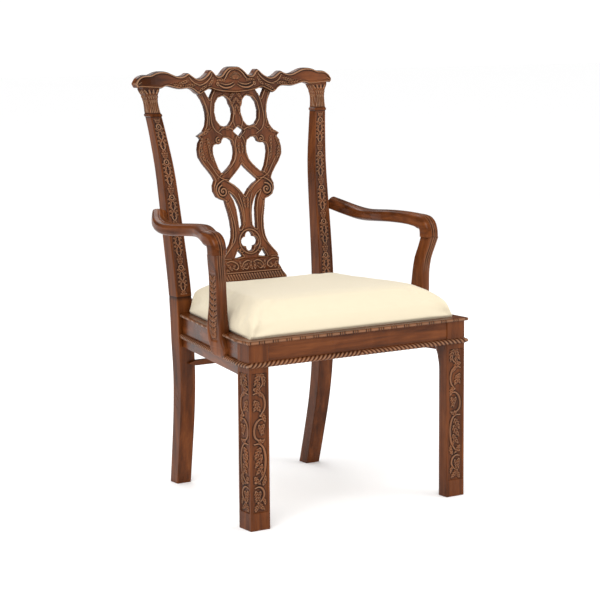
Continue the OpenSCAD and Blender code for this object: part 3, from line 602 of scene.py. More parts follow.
# ---- ornament -----------------------------------------------------------------------------
def vine(relief, base):
    """A climbing vine of C-scrolls and leaves for a leg's sunk face, about 320 mm tall."""
    def up(points):
        return [(x, base + z) for x, z in points]
    for line, w in (([(-15, 272), (-3, 275), (9, 268), (15, 252), (13, 236), (4, 224)], 3.2),
                    ([(12, 214), (0, 213), (-10, 203), (-14, 187), (-10, 172), (4, 163)], 3.2),
                    ([(-14, 158), (0, 158), (10, 148), (15, 130), (15, 110), (11, 90), (1, 75),
                      (-10, 69)], 3.4),
                    ([(-13, 58), (-2, 60), (8, 53), (11, 40), (3, 28), (-6, 23)], 2.8),
                    ([(-3, 318), (7, 308), (9, 294), (0, 283)], 2.6)):
        relief.ridge(curve(up(line)), w, 2.5)
    for line, w in (([(2, 322), (-4, 306), (-13, 290)], 8), ([(5, 318), (12, 304), (14, 288)], 7),
                    ([(0, 300), (-2, 290), (-6, 280)], 6), ([(-16, 284), (-4, 279), (10, 262)], 7.5),
                    ([(-13, 258), (-6, 246), (4, 230)], 8.5), ([(-1, 254), (-8, 244), (-15, 232)], 6.5),
                    ([(4, 226), (11, 219), (16, 205)], 7), ([(13, 202), (7, 192), (5, 176)], 7),
                    ([(-2, 202), (4, 190), (13, 178)], 6), ([(-5, 168), (4, 162), (15, 168)], 6),
                    ([(3, 150), (-5, 136), (-13, 122)], 8.5), ([(6, 134), (-2, 118), (-12, 104)], 8.5),
                    ([(7, 112), (1, 100), (-10, 88)], 7.5), ([(0, 96), (6, 92), (8, 80)], 5),
                    ([(-14, 84), (-8, 76), (3, 64)], 6.5), ([(8, 62), (13, 74), (14, 88)], 6),
                    ([(-12, 52), (-8, 38), (-11, 24)], 7), ([(2, 50), (-3, 38), (-1, 24)], 6),
                    ([(-6, 24), (3, 14), (13, 6)], 7), ([(-2, 20), (-9, 12), (-13, 2)], 6.5),
                    ([(6, 34), (12, 26), (14, 16)], 5)):
        relief.leaf(curve(up(line)), w, 2.8, 4)
    for centre, r in (((2, 166), 3.6), ((-11, 71), 3.8), ((3, 222), 3.2), ((-5, 24), 3.4), ((0, 284), 2.8)):
        relief.berry((centre[0], base + centre[1]), r, 3.0)


def stile_carving(relief, z0, z1):
    """Rings, twisted strands, leaves and flowers for a post's sunk face."""
    span = (z1 - z0) / 5
    for k in range(5):
        a = z1 - 10 - k * span
        relief.ring((0, a - 10), 6.2, 2.0, 2.1)
        relief.berry((0, a - 10), 2.2, 1.8)
        for x in (-1, 0, 1):
            relief.leaf(curve([(x, a - 2), (x * 4, a + 5), (x * 8, a + 10)]), 4.2, 2.1, 2)
        s = np.linspace(0, 1, 30)
        for sign in (-1, 1):
            x = sign * 6.4 * np.sin(2 * math.pi * s)
            relief.ridge(np.stack([x, a - 18 - s * (span - 36)], 1), 1.9, 2.0, ends=(0.8, 0.8))
            for z in np.arange(a - 20, a - span + 22, -9.5):
                relief.leaf(curve([(sign * 3, z), (sign * 8, z + 6), (sign * 12.5, z + 4)]), 4.4, 2.0, 2)
        relief.berry((0, a - 18 - (span - 36) * 0.5), 2.4, 2.2)
        relief.flower((0, a - span + 11), 10, 2.2, 6)


def foliage(relief, line, width, pitch=13, height=2.2):
    """A stem with paired leaves along a line, for a support's outer face."""
    stem = curve(line, 1.0)
    relief.ridge(stem, 1.6, height * 0.8)
    steps = int(len(stem) / pitch)
    for k in range(steps):
        p = stem[min(int((k + 0.5) * pitch), len(stem) - 1)]
        w = width * (0.5 + 0.5 * math.sin(math.pi * (k + 0.6) / steps))
        for sign in (-1, 1):
            relief.leaf(curve([p, p + (sign * w * 0.55, 4), p + (sign * w, 13)]), 5.8, height, 3)
        if k % 3 == 1:
            relief.flower(tuple(p), 6, height, 5)


# ---- sizes and colours --------------------------------------------------------------------
class ArmchairSizes(bpy.types.PropertyGroup):
    """Sizes of the carving and the padding."""

    panel_sink: FloatProperty(name="Panel depth", description="How deep the carved faces are sunk",
                              default=2.6 * MM, unit="LENGTH")
    rope_pitch: FloatProperty(name="Rope pitch", description="Spacing of the rope moulding's strands",
                              default=11.6 * MM, unit="LENGTH")
    bead_pitch: FloatProperty(name="Bead pitch", description="Spacing of the seat moulding's bars and beads",
                              default=36.2 * MM, unit="LENGTH")
    voxel: FloatProperty(name="Splat cell", description="Cell size of the splat's carved surface",
                         default=1.3 * MM, unit="LENGTH")
    cap: FloatProperty(name="Cushion swell", description="How far the cloth may swell when it is blown up",
                       default=12 * MM, unit="LENGTH")
    frames: IntProperty(name="Cloth frames", description="Steps of the cloth simulation", default=18)


class ArmchairColours(bpy.types.PropertyGroup):
    """Colours of the wood and the cloth, and of the painted shade and highlight on the wood."""

    dark: FloatVectorProperty(name="Dark grain", description="Darkest grain of the polished wood",
                              subtype="COLOR", default=(0.040, 0.0105, 0.0025))
    middle: FloatVectorProperty(name="Wood", description="Body colour of the polished wood",
                                subtype="COLOR", default=(0.108, 0.0285, 0.0060))
    light: FloatVectorProperty(name="Light grain", description="Lightest grain of the polished wood",
                               subtype="COLOR", default=(0.190, 0.055, 0.0130))
    # painted highlight: the pale colour put on the carving's ridges in place of their shine
    highlight_tint: FloatVectorProperty(name="Ridge highlight", description="Pale colour painted on the ridges as highlight",
                                subtype="COLOR", default=(0.45, 0.255, 0.145))
    # painted shade: the near-black colour put into the carving's hollows
    shade_tint: FloatVectorProperty(name="Hollow shade", description="Dark colour painted into the hollows as shade",
                               subtype="COLOR", default=(0.012, 0.004, 0.002))
    beech: FloatVectorProperty(name="Beech", description="Unpolished wood of the hidden parts",
                               subtype="COLOR", default=(0.46, 0.30, 0.16))
    cloth: FloatVectorProperty(name="Cloth", description="Cream seat cloth",
                               subtype="COLOR", default=(0.68, 0.596, 0.435))


# ---- operators ----------------------------------------------------------------------------
class ARMCHAIR_OT_front_legs(bpy.types.Operator):
    """Square legs with a vine carved in their two outer faces"""

    bl_idname = "armchair.front_legs"
    bl_label = "Front legs"

    def execute(self, context):
        sink = context.scene.armchair_sizes.panel_sink / MM
        for side, name in SIDES:
            node = "front_leg_" + name
            base, border = 40.0, 5.0
            top = ROPE_Z - 12
            section = Section(52, 52, 8, 8, 3)
            z = np.concatenate([[0, 1.2, 12, 24, 34], np.arange(base - 2, top + 3, 1.0),
                                np.linspace(top + 8, LEG_TOP, 8)])
            centre_x = (low(node)[0] + high(node)[0]) / 2 * side
            centre_y = (low(node)[1] + high(node)[1]) / 2
            half = LEG_W / 2
            reliefs = {}
            for face, mirror in ((0, -side), (1, -side)):
                reliefs[face] = Relief(-half, half, 0, LEG_TOP, 0.4, mirror)
                vine(reliefs[face], base)

            def place(column, row):
                zz = z[row]
                rise = np.zeros(len(zz))
                recess = np.zeros(len(zz))
                worn = np.zeros(len(zz))
                for face, relief in reliefs.items():
                    here = section.face[column] == face
                    across = (section.ex if face == 0 else section.ey)[column] * (half - 1.2)
                    across = across * side if face == 0 else across
                    inside = (unit((half - border - np.abs(across)) / 1.1)
                              * unit((zz - base) / 1.1) * unit((top - zz) / 1.1))
                    h = np.minimum(relief.at(across, zz) * inside, sink + 0.4)
                    rise = np.where(here, (h - sink) * inside, rise)
                    # painted shade: the sunk ground and the panel's sloping border darkened; painted
                    # highlight on the carving's crests below
                    dark = relief.recess(across, zz, 1.1) + unit(1 - h / 1.1) * 0.12
                    dark = np.maximum(dark, unit(1 - np.abs(inside - 0.5) * 2) * 0.8) * (inside > 0)
                    recess = np.where(here, dark, recess)
                    worn = np.where(here, relief.crest(across, zz, 1.2) * inside, worn)
                x, y = section.around(column, half, half, 1.2, rise)
                runout = unit((ROPE_Z - 6 - zz) / 64)
                cut = 18 * (1 - (1 - runout) ** 2.4)
                over = np.clip(-x + y - (2 * half - cut), 0, None) / 2
                x, y = x + over, y - over
                return np.stack([(centre_x + x) * side, centre_y + y, zz], 1), recess, worn

            mesh = wrap("carved_front_leg_" + name, place, section.count, len(z) - 1)
            carved(context, mesh, node, "z")
        return {"FINISHED"}


class ARMCHAIR_OT_posts(bpy.types.Operator):
    """Rear legs and back posts in one, with a carved face, a collar ring and a leafy neck"""

    bl_idname = "armchair.posts"
    bl_label = "Rear posts"

    def execute(self, context):
        levels = np.concatenate([np.arange(1, 470, 8.0), np.arange(470, POST_TOP - 2.5, 4.0)])
        ring_z = SEAT_H + RING_AT * (POST_TOP - SEAT_H)
        panel_low, panel_high = SEAT_H + 46, ring_z - 8
        neck_low, neck_high = ring_z + 5, POST_TOP - 6
        for side, name in SIDES:
            node = "rear_post_" + name
            keep = np.abs(levels - ring_z) > 6
            cut = slices(node, 2, levels[keep])
            z = np.concatenate([[0, 1], np.arange(12, SEAT_H + 40, 10.0),
                                np.arange(SEAT_H + 42, POST_TOP + 3, 1.0)])
            size = [np.interp(z, levels[keep], cut[:, k, axis]) for axis in (0, 1) for k in (0, 1)]
            mid_x, half_x = (size[0] + size[1]) / 2 * side, (size[1] - size[0]) / 2
            mid_y, half_y = (size[2] + size[3]) / 2, (size[3] - size[2]) / 2
            section = Section(40, 14, 6, 14, 3)
            relief = Relief(-24, 24, panel_low - 5, POST_TOP + 5, 0.4)
            stile_carving(relief, panel_low, panel_high)
            collar = Relief(-30, 30, ring_z, POST_TOP + 5, 0.4)

            def fanned(x, *points):
                return curve([(x * share, ring_z + up) for share, up in points])

            for x in (-15, -9, -3, 3, 9, 15):
                collar.leaf(fanned(x, (0.75, 2), (0.85, 30), (1.2, 60)), 3.6, 2.6, 1)
                collar.leaf(fanned(x, (0.9, 30), (1, 44), (1.3, 62)), 4.6, 3.0, 3)
            for x in (-12, -6, 0, 6, 12):
                collar.groove(fanned(x, (0.75, 4), (0.9, 28), (1.2, 48)), 1.1, 1.2)

            def place(column, row):
                zz = z[row]
                front = section.face[column] == 0
                flank = (section.face[column] == 1) | (section.face[column] == 3)
                across = section.ex[column] * (half_x[row] - 1.5)
                inside = (unit((half_x[row] - 3.5 - np.abs(across)) / 0.9)
                          * unit((zz - panel_low) / 1) * unit((panel_high - zz) / 1))
                h = relief.at(across, zz) * inside
                rise = np.where(front, (h - POST_SINK) * inside, 0.0)
                # painted shade on the sunk panel's ground and hollows, painted highlight on its crests
                recess = np.where(front, (relief.recess(across, zz, 0.9)
                                          + unit(1 - h / 0.9) * 0.15) * (inside > 0), 0.0)
                worn = np.where(front, relief.crest(across, zz, 0.9) * inside, 0.0)
                neck = (unit((zz - neck_low) / 2) * unit((neck_high + 8 - zz) / 2)
                        * (front | flank))
                turn = np.where(flank, section.ey[column] * 10, across * 14 / np.maximum(half_x[row], 1))
                leafy = collar.at(turn, zz)
                rise = rise + (leafy - 1.6) * neck
                # painted shade between the neck's leaves, half as strong on the flanks; painted highlight on
                # their crests
                shade = (collar.recess(turn, zz, 1.3) + unit(1 - leafy) * 0.2) * np.where(flank, 0.5, 1)
                recess = np.maximum(recess, shade * neck)
                worn = np.maximum(worn, collar.crest(turn, zz, 0.9) * neck)
                hoop = np.exp(-((zz - ring_z) / 3.1) ** 4)
                split = 1.2 * bell(zz - ring_z, 0.9)
                rise = rise + hoop * 3.0 - split * hoop
                # painted shade: dark lines either side of the collar ring
                recess = np.maximum(recess, bell(np.abs(zz - ring_z) - 4.6, 1.0) * 0.8)
                base = bell(zz - (panel_low - 6), 1.1)
                rise = rise - base * 0.9
                # painted shade in the groove at the panel's foot
                recess = np.maximum(recess, base * 0.7)
                x, y = section.around(column, half_x[row], half_y[row], 1.6, rise)
                return np.stack([(mid_x[row] + x) * side, mid_y[row] + y, zz], 1), recess, worn

            mesh = wrap("carved_rear_post_" + name, place, section.count, len(z) - 1)
            carved(context, mesh, node, "z")
        return {"FINISHED"}


class ARMCHAIR_OT_crest(bpy.types.Operator):
    """Serpentine top rail with a shell in its dome, scrolls and leaves"""

    bl_idname = "armchair.crest"
    bl_label = "Crest rail"

    def execute(self, context):
        end = high("crest_rail")[0] - 0.3
        x = np.concatenate([np.linspace(-end, -end + 6, 8), np.arange(-end + 7, end - 7, 1.1),
                            np.linspace(end - 6, end, 8)])
        cut = slices("crest_rail", 0, x)
        bottom, top = cut[:, 0, 2], cut[:, 1, 2]
        middle_z, half_z = (top + bottom) / 2, (top - bottom) / 2
        middle_y = (cut[:, 0, 1] + cut[:, 1, 1]) / 2
        depth = (cut[:, 1, 1] - cut[:, 0, 1] - LEAN * (top - bottom)) / 2
        depth = np.clip(depth, 6, 14)
        relief = self.carving(end)
        for edge, inset, width in ((top, -3.2, 2.2), (bottom, 3.0, 1.8)):
            relief.ridge(np.stack([x, edge + inset], 1)[::3], width, 4.4, ends=(1, 1))
        section = Section(44, 8, 8, 8, 5)

        def place(column, row):
            radius = np.minimum(4.5, half_z[row] * 0.8)
            # columns run: front face (bottom to top), top, back, underside
            up, out = section.around(column, half_z[row], depth[row], radius)
            zz = middle_z[row] + up
            front = unit((-out / depth[row] - 0.35) / 0.4)
            xx = x[row]
            h = relief.at(xx, zz)
            bulge = 2.2 * (1 - (up / half_z[row]) ** 2)
            y = middle_y[row] + LEAN * up + out - front * (h - 2.6 + bulge * 0.4)
            # painted shade in the carving's hollows, painted highlight on its crests
            recess = relief.recess(xx, zz, 1.0) * front
            worn = relief.crest(xx, zz, 1.1) * front
            return np.stack([xx, y, zz], 1), recess, worn

        mesh = wrap("carved_crest_rail", place, section.count, len(x) - 1)
        carved(context, mesh, "crest_rail", "x")
        return {"FINISHED"}

    @staticmethod
    def carving(end):
        """The crest's relief: x across, z above the floor."""
        relief = Relief(-end - 2, end + 2, POST_TOP - 26, POST_TOP + 50, 0.45)
        base = POST_TOP
        relief.h += 1.6
        for s in (-1, 1):
            at = half_plan(s, base)
            # shell in the dome
            for angle in np.radians(np.arange(20, 91, 14)):
                tip = (s * 21 * math.cos(angle), base + 18 + 19 * math.sin(angle))
                heart = (tip[0] / 2, (base + 16 + tip[1]) / 2)
                relief.leaf(curve([(0, base + 16), heart, tip]), 4.2, 4.4, 1)
            relief.ridge(at([(0, 40.5), (12, 38), (22, 30), (29, 20), (36, 13)]), 2.4, 4.2)
            # lower C-scrolls under the dome
            relief.ridge(at([(4, 3), (16, -3), (32, -5), (46, 0), (55, 8)]), 2.8, 4.4)
            relief.ridge(at([(6, 9), (18, 4), (32, 3), (44, 7)]), 2.0, 4.0)
            relief.scroll((s * 52, base + 6), 5.5, -90 if s > 0 else 270, 1.1 * s, 1.8, 4.2)
            relief.leaf(at([(30, 12), (44, 15), (58, 12)]), 5.5, 4.2, 4)
            # cusp and hollow
            relief.ridge(at([(66, 33), (70, 24), (80, 14), (94, 6), (110, 2)]), 2.4, 3.8)
            relief.leaf(at([(64, 22), (70, 10), (82, -2)]), 6.0, 4.0, 4)
            relief.leaf(at([(84, 3), (96, -4), (110, -12)]), 6.0, 4.0, 4)
            relief.berry((s * 110, base - 14), 4.0, 4.4)
            # leaf spray of the second cusp
            relief.ridge(at([(134, 25), (128, 16), (118, 8), (104, 4)]), 2.2, 3.6)
            relief.leaf(at([(118, 4), (134, 4), (152, 1)]), 6.0, 4.2, 5)
            relief.leaf(at([(136, 16), (150, 12), (168, 8)]), 6.5, 4.4, 5)
            relief.leaf(at([(150, 4), (166, 3), (184, 8)]), 5.5, 4.2, 4)
            relief.gouges([(s * 146, base + 9), (s * 160, base + 7), (s * 176, base + 6)],
                          6, 7, 1.1, 1.4, 60 * s)
            # smooth ear with a moulded lower edge
            relief.ridge(at([(186, 10), (198, 6), (212, 4), (240, 5), (262, 6), (276, 10)]), 2.0, 2.6)
            relief.ridge(at([(268, 14), (276, 10), (279, 4), (276, -1)]), 2.2, 3.0)
        return relief


class ARMCHAIR_OT_splat(bpy.types.Operator):
    """Pierced and interlaced splat, carved with scrolls and leaves"""

    bl_idname = "armchair.splat"
    bl_label = "Splat"

    def execute(self, context):
        sizes = context.scene.armchair_sizes
        voxel = 1.0 * sizes.voxel / MM
        mesh = remeshed(context, copy_of("splat", "carved_splat"), voxel)
        points, normals = arrays(mesh)
        foot = low("splat")[2] + 16
        levels = np.array([foot + 60, foot + 340])
        lean, face_y = np.polyfit(levels, slices("splat", 2, levels)[:, 0, 1], 1)
        front = face_y + lean * points[:, 2]
        behind = points[:, 1] - front
        relief, distance = self.carving(foot)
        x, z = points[:, 0], points[:, 2]
        h = relief.at(x, z)
        share = unit(1 - behind / 6.0) * (z > foot + 0.5)
        points[:, 1] -= share * h
        points[:, 2] += share * h * lean
        put(mesh, points)
        face = unit((-normals[:, 1] - 0.3) / 0.4)
        edge = relief.at(x, z, distance)
        # painted shade in the hollows and on the walls of the piercings, painted highlight on crests and
        # along the straps' edges
        recess = relief.recess(x, z, 0.9) * face
        worn = unit(relief.crest(x, z, 1.1) + bell(edge - 1.8, 0.9) * 0.3) * face
        store_painted_light(mesh, np.maximum(recess, (1 - face) * 0.3), worn)
        carved(context, mesh, "splat", "z", 60)
        return {"FINISHED"}

    @staticmethod
    def carving(foot):
        """The splat's relief below its front plane, and each cell's distance from an edge."""
        tall = high("splat")[2]
        relief = Relief(-126, 126, foot - 6, tall + 4, 0.6)
        solid = np.zeros_like(relief.h, dtype=bool)
        tris = triangles("splat")
        flat = tris[:, :, [0, 2]]
        span = np.cross(flat[:, 1] - flat[:, 0], flat[:, 2] - flat[:, 0])
        xs = relief.x0 + np.arange(relief.nx) * relief.cell
        zs = relief.z0 + np.arange(relief.nz) * relief.cell
        for (a, b, c), area in zip(flat, span):
            if abs(area) < 0.02:
                continue
            lo = np.minimum(np.minimum(a, b), c)
            hi = np.maximum(np.maximum(a, b), c)
            i = slice(*np.searchsorted(xs, (lo[0], hi[0])))
            j = slice(*np.searchsorted(zs, (lo[1], hi[1])))
            gx, gz = np.meshgrid(xs[i], zs[j])
            weight = [((q[0] - p[0]) * (gz - p[1]) - (q[1] - p[1]) * (gx - p[0])) / area
                      for p, q in ((a, b), (b, c), (c, a))]
            solid[j, i] |= (weight[0] >= -1e-6) & (weight[1] >= -1e-6) & (weight[2] >= -1e-6)
        distance = np.where(solid, 60.0, 0.0)
        for _ in range(26):
            for axis in (0, 1):
                for shift in (-1, 1):
                    distance = np.minimum(distance, np.roll(distance, shift, axis) + relief.cell)
            for a in (-1, 1):
                for b in (-1, 1):
                    diagonal = np.roll(np.roll(distance, a, 0), b, 1) + relief.cell * 1.414
                    distance = np.minimum(distance, diagonal)
        distance[~solid] = 0
        relief.h = (unit(distance / 1.5) + bell(distance - 2.2, 1.2)
                    - 0.6 * bell(distance - 5.0, 0.9))
        base = foot
        for side in (-1, 1):
            at = half_plan(side, base)
            # interlaced straps: raised edge lines that cross over
            for line in ([(8, 320), (14, 340), (9, 362), (16, 388), (34, 404)],
                         [(66, 404), (72, 384), (76, 360), (76, 336), (68, 318), (50, 306)],
                         [(100, 410), (92, 392), (86, 372), (82, 350), (84, 330)],
                         [(4, 300), (12, 314), (28, 322), (46, 322), (58, 314)],
                         [(8, 300), (14, 284), (13, 262), (22, 240), (40, 224), (60, 212), (74, 200)],
                         [(100, 246), (86, 226), (72, 206), (50, 194), (30, 180), (14, 164)],
                         [(20, 160), (14, 142), (10, 118), (9, 90)],
                         [(52, 140), (46, 118), (40, 94), (38, 70), (42, 48), (56, 30), (72, 14)]):
                relief.ridge(at(line), 2.2, 2.9, ends=(0.6, 0.6))
            # curled ends in the hearts and the volutes below
            relief.scroll((side * 62, base + 292), 8.5, 90, -1.3 * side, 2.2, 3.6)
            relief.scroll((side * 63, base + 168), 15.5, 100, -1.6 * side, 2.7, 4.2)
            relief.ridge(at([(40, 196), (58, 196), (76, 186), (82, 172), (76, 156), (62, 150)]), 2.2, 3.6)
            # leaves along the bulges, ears and crossings
            for line, w in (([(84, 322), (98, 312), (115, 306)], 6),
                            ([(106, 300), (112, 286), (114, 268)], 7),
                            ([(112, 272), (110, 256), (102, 240)], 6.5),
                            ([(92, 300), (90, 284), (90, 266)], 6),
                            ([(90, 270), (86, 254), (80, 238)], 5.5), ([(28, 318), (40, 324), (54, 318)], 5),
                            ([(3, 286), (6, 272), (3, 256)], 4.5), ([(6, 152), (6, 138), (3, 122)], 5),
                            ([(2, 410), (12, 400), (20, 388)], 6), ([(0, 396), (8, 384), (16, 374)], 5),
                            ([(0, 380), (5, 368), (7, 352)], 4.5), ([(60, 134), (54, 116), (50, 98)], 4.5)):
                relief.leaf(at(line), w, 3.6, 4)
            relief.gouges([(side * 100, base + 296), (side * 102, base + 270), (side * 96, base + 240)],
                          9, 6, 1.0, 1.2, 130)
            relief.gouges([(side * 84, base + 296), (side * 83, base + 262), (side * 76, base + 236)],
                          8, 5, 0.9, 1.0, 50)
            # strap going under: shadow lines at each crossing
            for line in ([(4, 304), (14, 300), (18, 288)], [(52, 214), (62, 204), (70, 196)],
                         [(8, 236), (4, 244), (0, 252)], [(64, 214), (72, 222), (80, 226)],
                         [(18, 74), (12, 80), (6, 84)], [(44, 150), (50, 142), (58, 140)],
                         [(76, 324), (84, 318), (90, 316)]):
                relief.groove(at(line), 1.1, 1.5)
            # petals of the quatrefoil's ring
            relief.ring((0, base + 42), 30, 2.4, 3.4, 1.0)
            relief.scroll((side * 27, base + 22), 7, 200 if side > 0 else -20, 1.2 * side, 1.8, 3.4)
        return relief, distance


class ARMCHAIR_OT_shoe(bpy.types.Operator):
    """Carved shoe under the splat: paired acanthus scrolls over a row of gadroons"""

    bl_idname = "armchair.shoe"
    bl_label = "Splat shoe"

    def execute(self, context):
        voxel = 1.1
        mesh = remeshed(context, copy_of("splat_shoe", "carved_splat_shoe"), voxel)
        points, normals = arrays(mesh)
        top, foot = high("splat_shoe")[2], low("splat_shoe")[2]
        relief = Relief(-94, 94, foot, top + 2, 0.45)
        relief.h += 0.8
        for side in (-1, 1):
            at = half_plan(side, top)
            relief.ridge(at([(2, -8), (14, -4), (26, -9), (30, -18), (20, -24), (12, -18)]), 2.2, 3.2)
            relief.ridge(at([(76, -6), (62, -3), (48, -8), (42, -17), (50, -24), (60, -19)]), 2.2, 3.2)
            for line, w in (([(4, -26), (6, -14), (2, -3)], 5.5), ([(30, -26), (34, -14), (38, -3)], 5.5),
                            ([(62, -26), (68, -16), (76, -8)], 5.5), ([(14, -12), (22, -14), (27, -22)], 4),
                            ([(50, -12), (54, -16), (58, -24)], 4), ([(70, -28), (76, -24), (82, -30)], 4)):
                relief.leaf(at(line), w, 3.2, 3)
            relief.ridge(at([(0, -31), (40, -31), (80, -31)]), 1.6, 2.6, ends=(1, 1))
        for k in range(-11, 12):
            gadroon = curve([(k * 7.6 - 1.5, top - 36), (k * 7.6, top - 41), (k * 7.6 + 1.5, top - 46)])
            relief.ridge(gadroon, 3.2, 2.8, ends=(0.9, 0.9))
        x, z = points[:, 0], points[:, 2]
        face = unit((-normals[:, 1] - 0.35) / 0.4) * (z > foot + 40)
        points[:, 1] -= face * (relief.at(x, z) - 1.4)
        put(mesh, points)
        # painted shade in the hollows, painted highlight on the crests
        store_painted_light(mesh, relief.recess(x, z, 1.2) * face, relief.crest(x, z, 1.0) * face)
        carved(context, mesh, "splat_shoe", "x", 60)
        return {"FINISHED"}


class ARMCHAIR_OT_arms(bpy.types.Operator):
    """Shaped arms, fluted along the top and lobed at the hand"""

    bl_idname = "armchair.arms"
    bl_label = "Arms"

    def execute(self, context):
        for name in ("right", "left"):
            node = "arm_" + name
            first, last = low(node)[1], high(node)[1]
            joint = low(node)[2]
            hand = first + 20
            levels = np.arange(first + 46, last - 22, 6.0)
            cut = slices(node, 1, levels)
            mid = (cut[:, 0] + cut[:, 1]) / 2
            half = (cut[:, 1] - cut[:, 0]) / 2
            hand_x, hand_w = mid[0, 0], half[0, 0]
            end_x = 2 * mid[-1] - mid[-4]
            path = ([(hand_x, hand, joint, hand_w * 0.92, 20),
                     (hand_x, hand + 0.5, joint + 12, hand_w * 0.94, 19.6),
                     (hand_x, hand + 4, joint + 24, hand_w * 0.97, 18),
                     (hand_x, hand + 13, joint + 33.5, hand_w, 15.5)]
                    + [(m[0], m[1], m[2], h[0], h[2]) for m, h in zip(mid, half)]
                    + [(end_x[0], end_x[1], end_x[2], half[-1, 0] * 0.95, half[-1, 2])])
            line = evened(curve(path, 2.0), 9)
            centre, half_w, half_t = line[:, :3], line[:, 3], line[:, 4]
            tangent = np.gradient(centre, axis=0)
            tangent /= np.linalg.norm(tangent, axis=1)[:, None]
            side_way = np.array([1.0, 0, 0]) - tangent * tangent[:, :1]
            side_way /= np.linalg.norm(side_way, axis=1)[:, None]
            upward = np.cross(side_way, tangent)
            upward *= np.sign(upward[len(upward) // 2, 2])
            section = Section(30, 10, 10, 10, 6)
            run = np.concatenate([[0], np.cumsum(np.linalg.norm(np.diff(centre, axis=0), axis=1))])

            def place(column, row):
                radius = np.minimum(half_t[row], half_w[row]) * 0.62
                across = section.ex[column]
                on_top = section.face[column] == 0
                s = run[row]
                lobe = bell(s, 42.0)
                flute = bell(np.abs(across) - 0.42, 0.16) * (0.45 + 2.2 * lobe)
                crown = 1.6 * (1 - across ** 2)
                rise = np.where(on_top, crown - flute, 0.0)
                a, b = section.around(column, half_w[row], half_t[row], radius, rise)
                points = centre[row] + side_way[row] * a[:, None] - upward[row] * b[:, None]
                # painted shade in the flutes, strongest at the hand; painted highlight lines along the top's
                # edges and middle
                recess = np.where(on_top, unit(flute / 3.0) * (0.15 + 0.8 * lobe), 0.0)
                worn = np.where(on_top, bell(np.abs(across) - 0.72, 0.1) * 0.25
                                + bell(across, 0.16) * (0.1 + 0.3 * lobe), 0.0)
                return points, recess, worn

            mesh = wrap("shaped_arm_" + name, place, section.count, len(line) - 1)
            carved(context, mesh, node, "y", 50)
        return {"FINISHED"}


class ARMCHAIR_OT_supports(bpy.types.Operator):
    """Arm supports, fluted above, with foliage on the outer face, lapped over the side rails"""

    bl_idname = "armchair.supports"
    bl_label = "Arm supports"

    def execute(self, context):
        for side, name in SIDES:
            node = "arm_support_" + name
            foot, top = low(node)[2], high(node)[2]
            levels = np.concatenate([foot + np.array([0.4, 1.5, 3]), np.arange(foot + 5, top - 0.5, 3.0),
                                     [top - 0.2]])
            cut = slices(node, 2, levels)
            tip = foot - TOE_DROP
            z = np.concatenate([tip + np.array([0, 0.15, 0.5, 1.1, 2.0, 3.2, 4.5]),
                                np.arange(tip + 6, top, 1.0), [top]])
            ankle = np.maximum(z, foot + 13)
            inner = np.interp(ankle, levels, (cut[:, 0, 0] if side > 0 else -cut[:, 1, 0]))
            outer = np.interp(ankle, levels, (cut[:, 1, 0] if side > 0 else -cut[:, 0, 0]))
            front = np.interp(ankle, levels, cut[:, 0, 1])
            back = np.interp(ankle, levels, cut[:, 1, 1])
            turned_in = 1 - np.sqrt(1 - unit(1 - (z - tip) / TOE_TALL) ** 2)
            outer = outer - 6 * turned_in
            swell = bell(z - foot - 4, 23)
            front = front + 11 * turned_in - 21 * swell
            back = back - 20 * turned_in - 5 * swell
            rail = slices("side_rail_" + name, 1, [front.min(), back.max()])
            faces = (rail[:, 1, 0] if side > 0 else -rail[:, 0, 0])
            rope = slices("rope_" + name, 1, [front.min(), back.max()])
            rope_at = (rope[:, 1, 0] if side > 0 else -rope[:, 0, 0])
            section = Section(24, 44, 8, 8, 5)
            mid_y, half_y = (front + back) / 2, (back - front) / 2
            relief = Relief(-34, 34, foot, top, 0.45)
            stem = [(0, 30), (1, 60), (-2, 110), (0, 150), (1, 178)]
            foliage(relief, [(x, foot + up) for x, up in stem], 19)

            def place(column, row):
                zz = z[row]
                up = unit((zz - foot) / (top - foot))
                outer_face = section.face[column] == 1
                front_face = section.face[column] == 0
                mid_x, half_x = (inner[row] + outer[row]) / 2, (outer[row] - inner[row]) / 2
                across = section.ey[column] * (half_y[row] - 5)
                limit = half_y[row] - 6 - 14 * unit((0.24 - up) / 0.16)
                inside = (unit((limit - np.abs(across)) / 1.4) * unit((up - 0.11) / 0.02)
                          * unit((0.82 - up) / 0.02)) * outer_face
                h = relief.at(across, zz)
                rise = inside * (h - 1.6)
                e = section.ex[column]
                fluted = unit((up - 0.62) / 0.15) * front_face
                flute = (0.5 - 0.5 * np.cos(2 * math.pi * (e * 1.5 + 0.5))) * fluted
                rise = rise - flute * 1.8 + front_face * (1 - e ** 2) * 1.4
                # painted shade in the foliage's hollows and the flutes, painted highlight on crests and
                # between the flutes
                recess = inside * (relief.recess(across, zz, 1.0) + unit(1 - h) * 0.15) + flute * 0.55
                worn = inside * relief.crest(across, zz, 1.0) + (1 - flute) * fluted * 0.3
                radius = np.minimum(np.minimum(half_x, half_y[row]) * 0.5, 5 + 6 * unit((0.2 - up) / 0.2))
                x, y = section.around(column, half_x, half_y[row], radius, rise)
                x, y = x + mid_x, y + mid_y[row]
                face_x = np.interp(y, [front.min(), back.max()], faces) + 0.1
                x = np.where(zz < SEAT_H + 0.05, np.maximum(x, face_x), x)
                beside = np.interp(y, [front.min(), back.max()], rope_at) + 0.2
                x = np.where(zz < foot, np.maximum(x, beside), x)
                return np.stack([x * side, y, zz], 1), recess, worn

            mesh = wrap("carved_arm_support_" + name, place, section.count, len(z) - 1)
            carved(context, mesh, node, "z", 50)
        return {"FINISHED"}


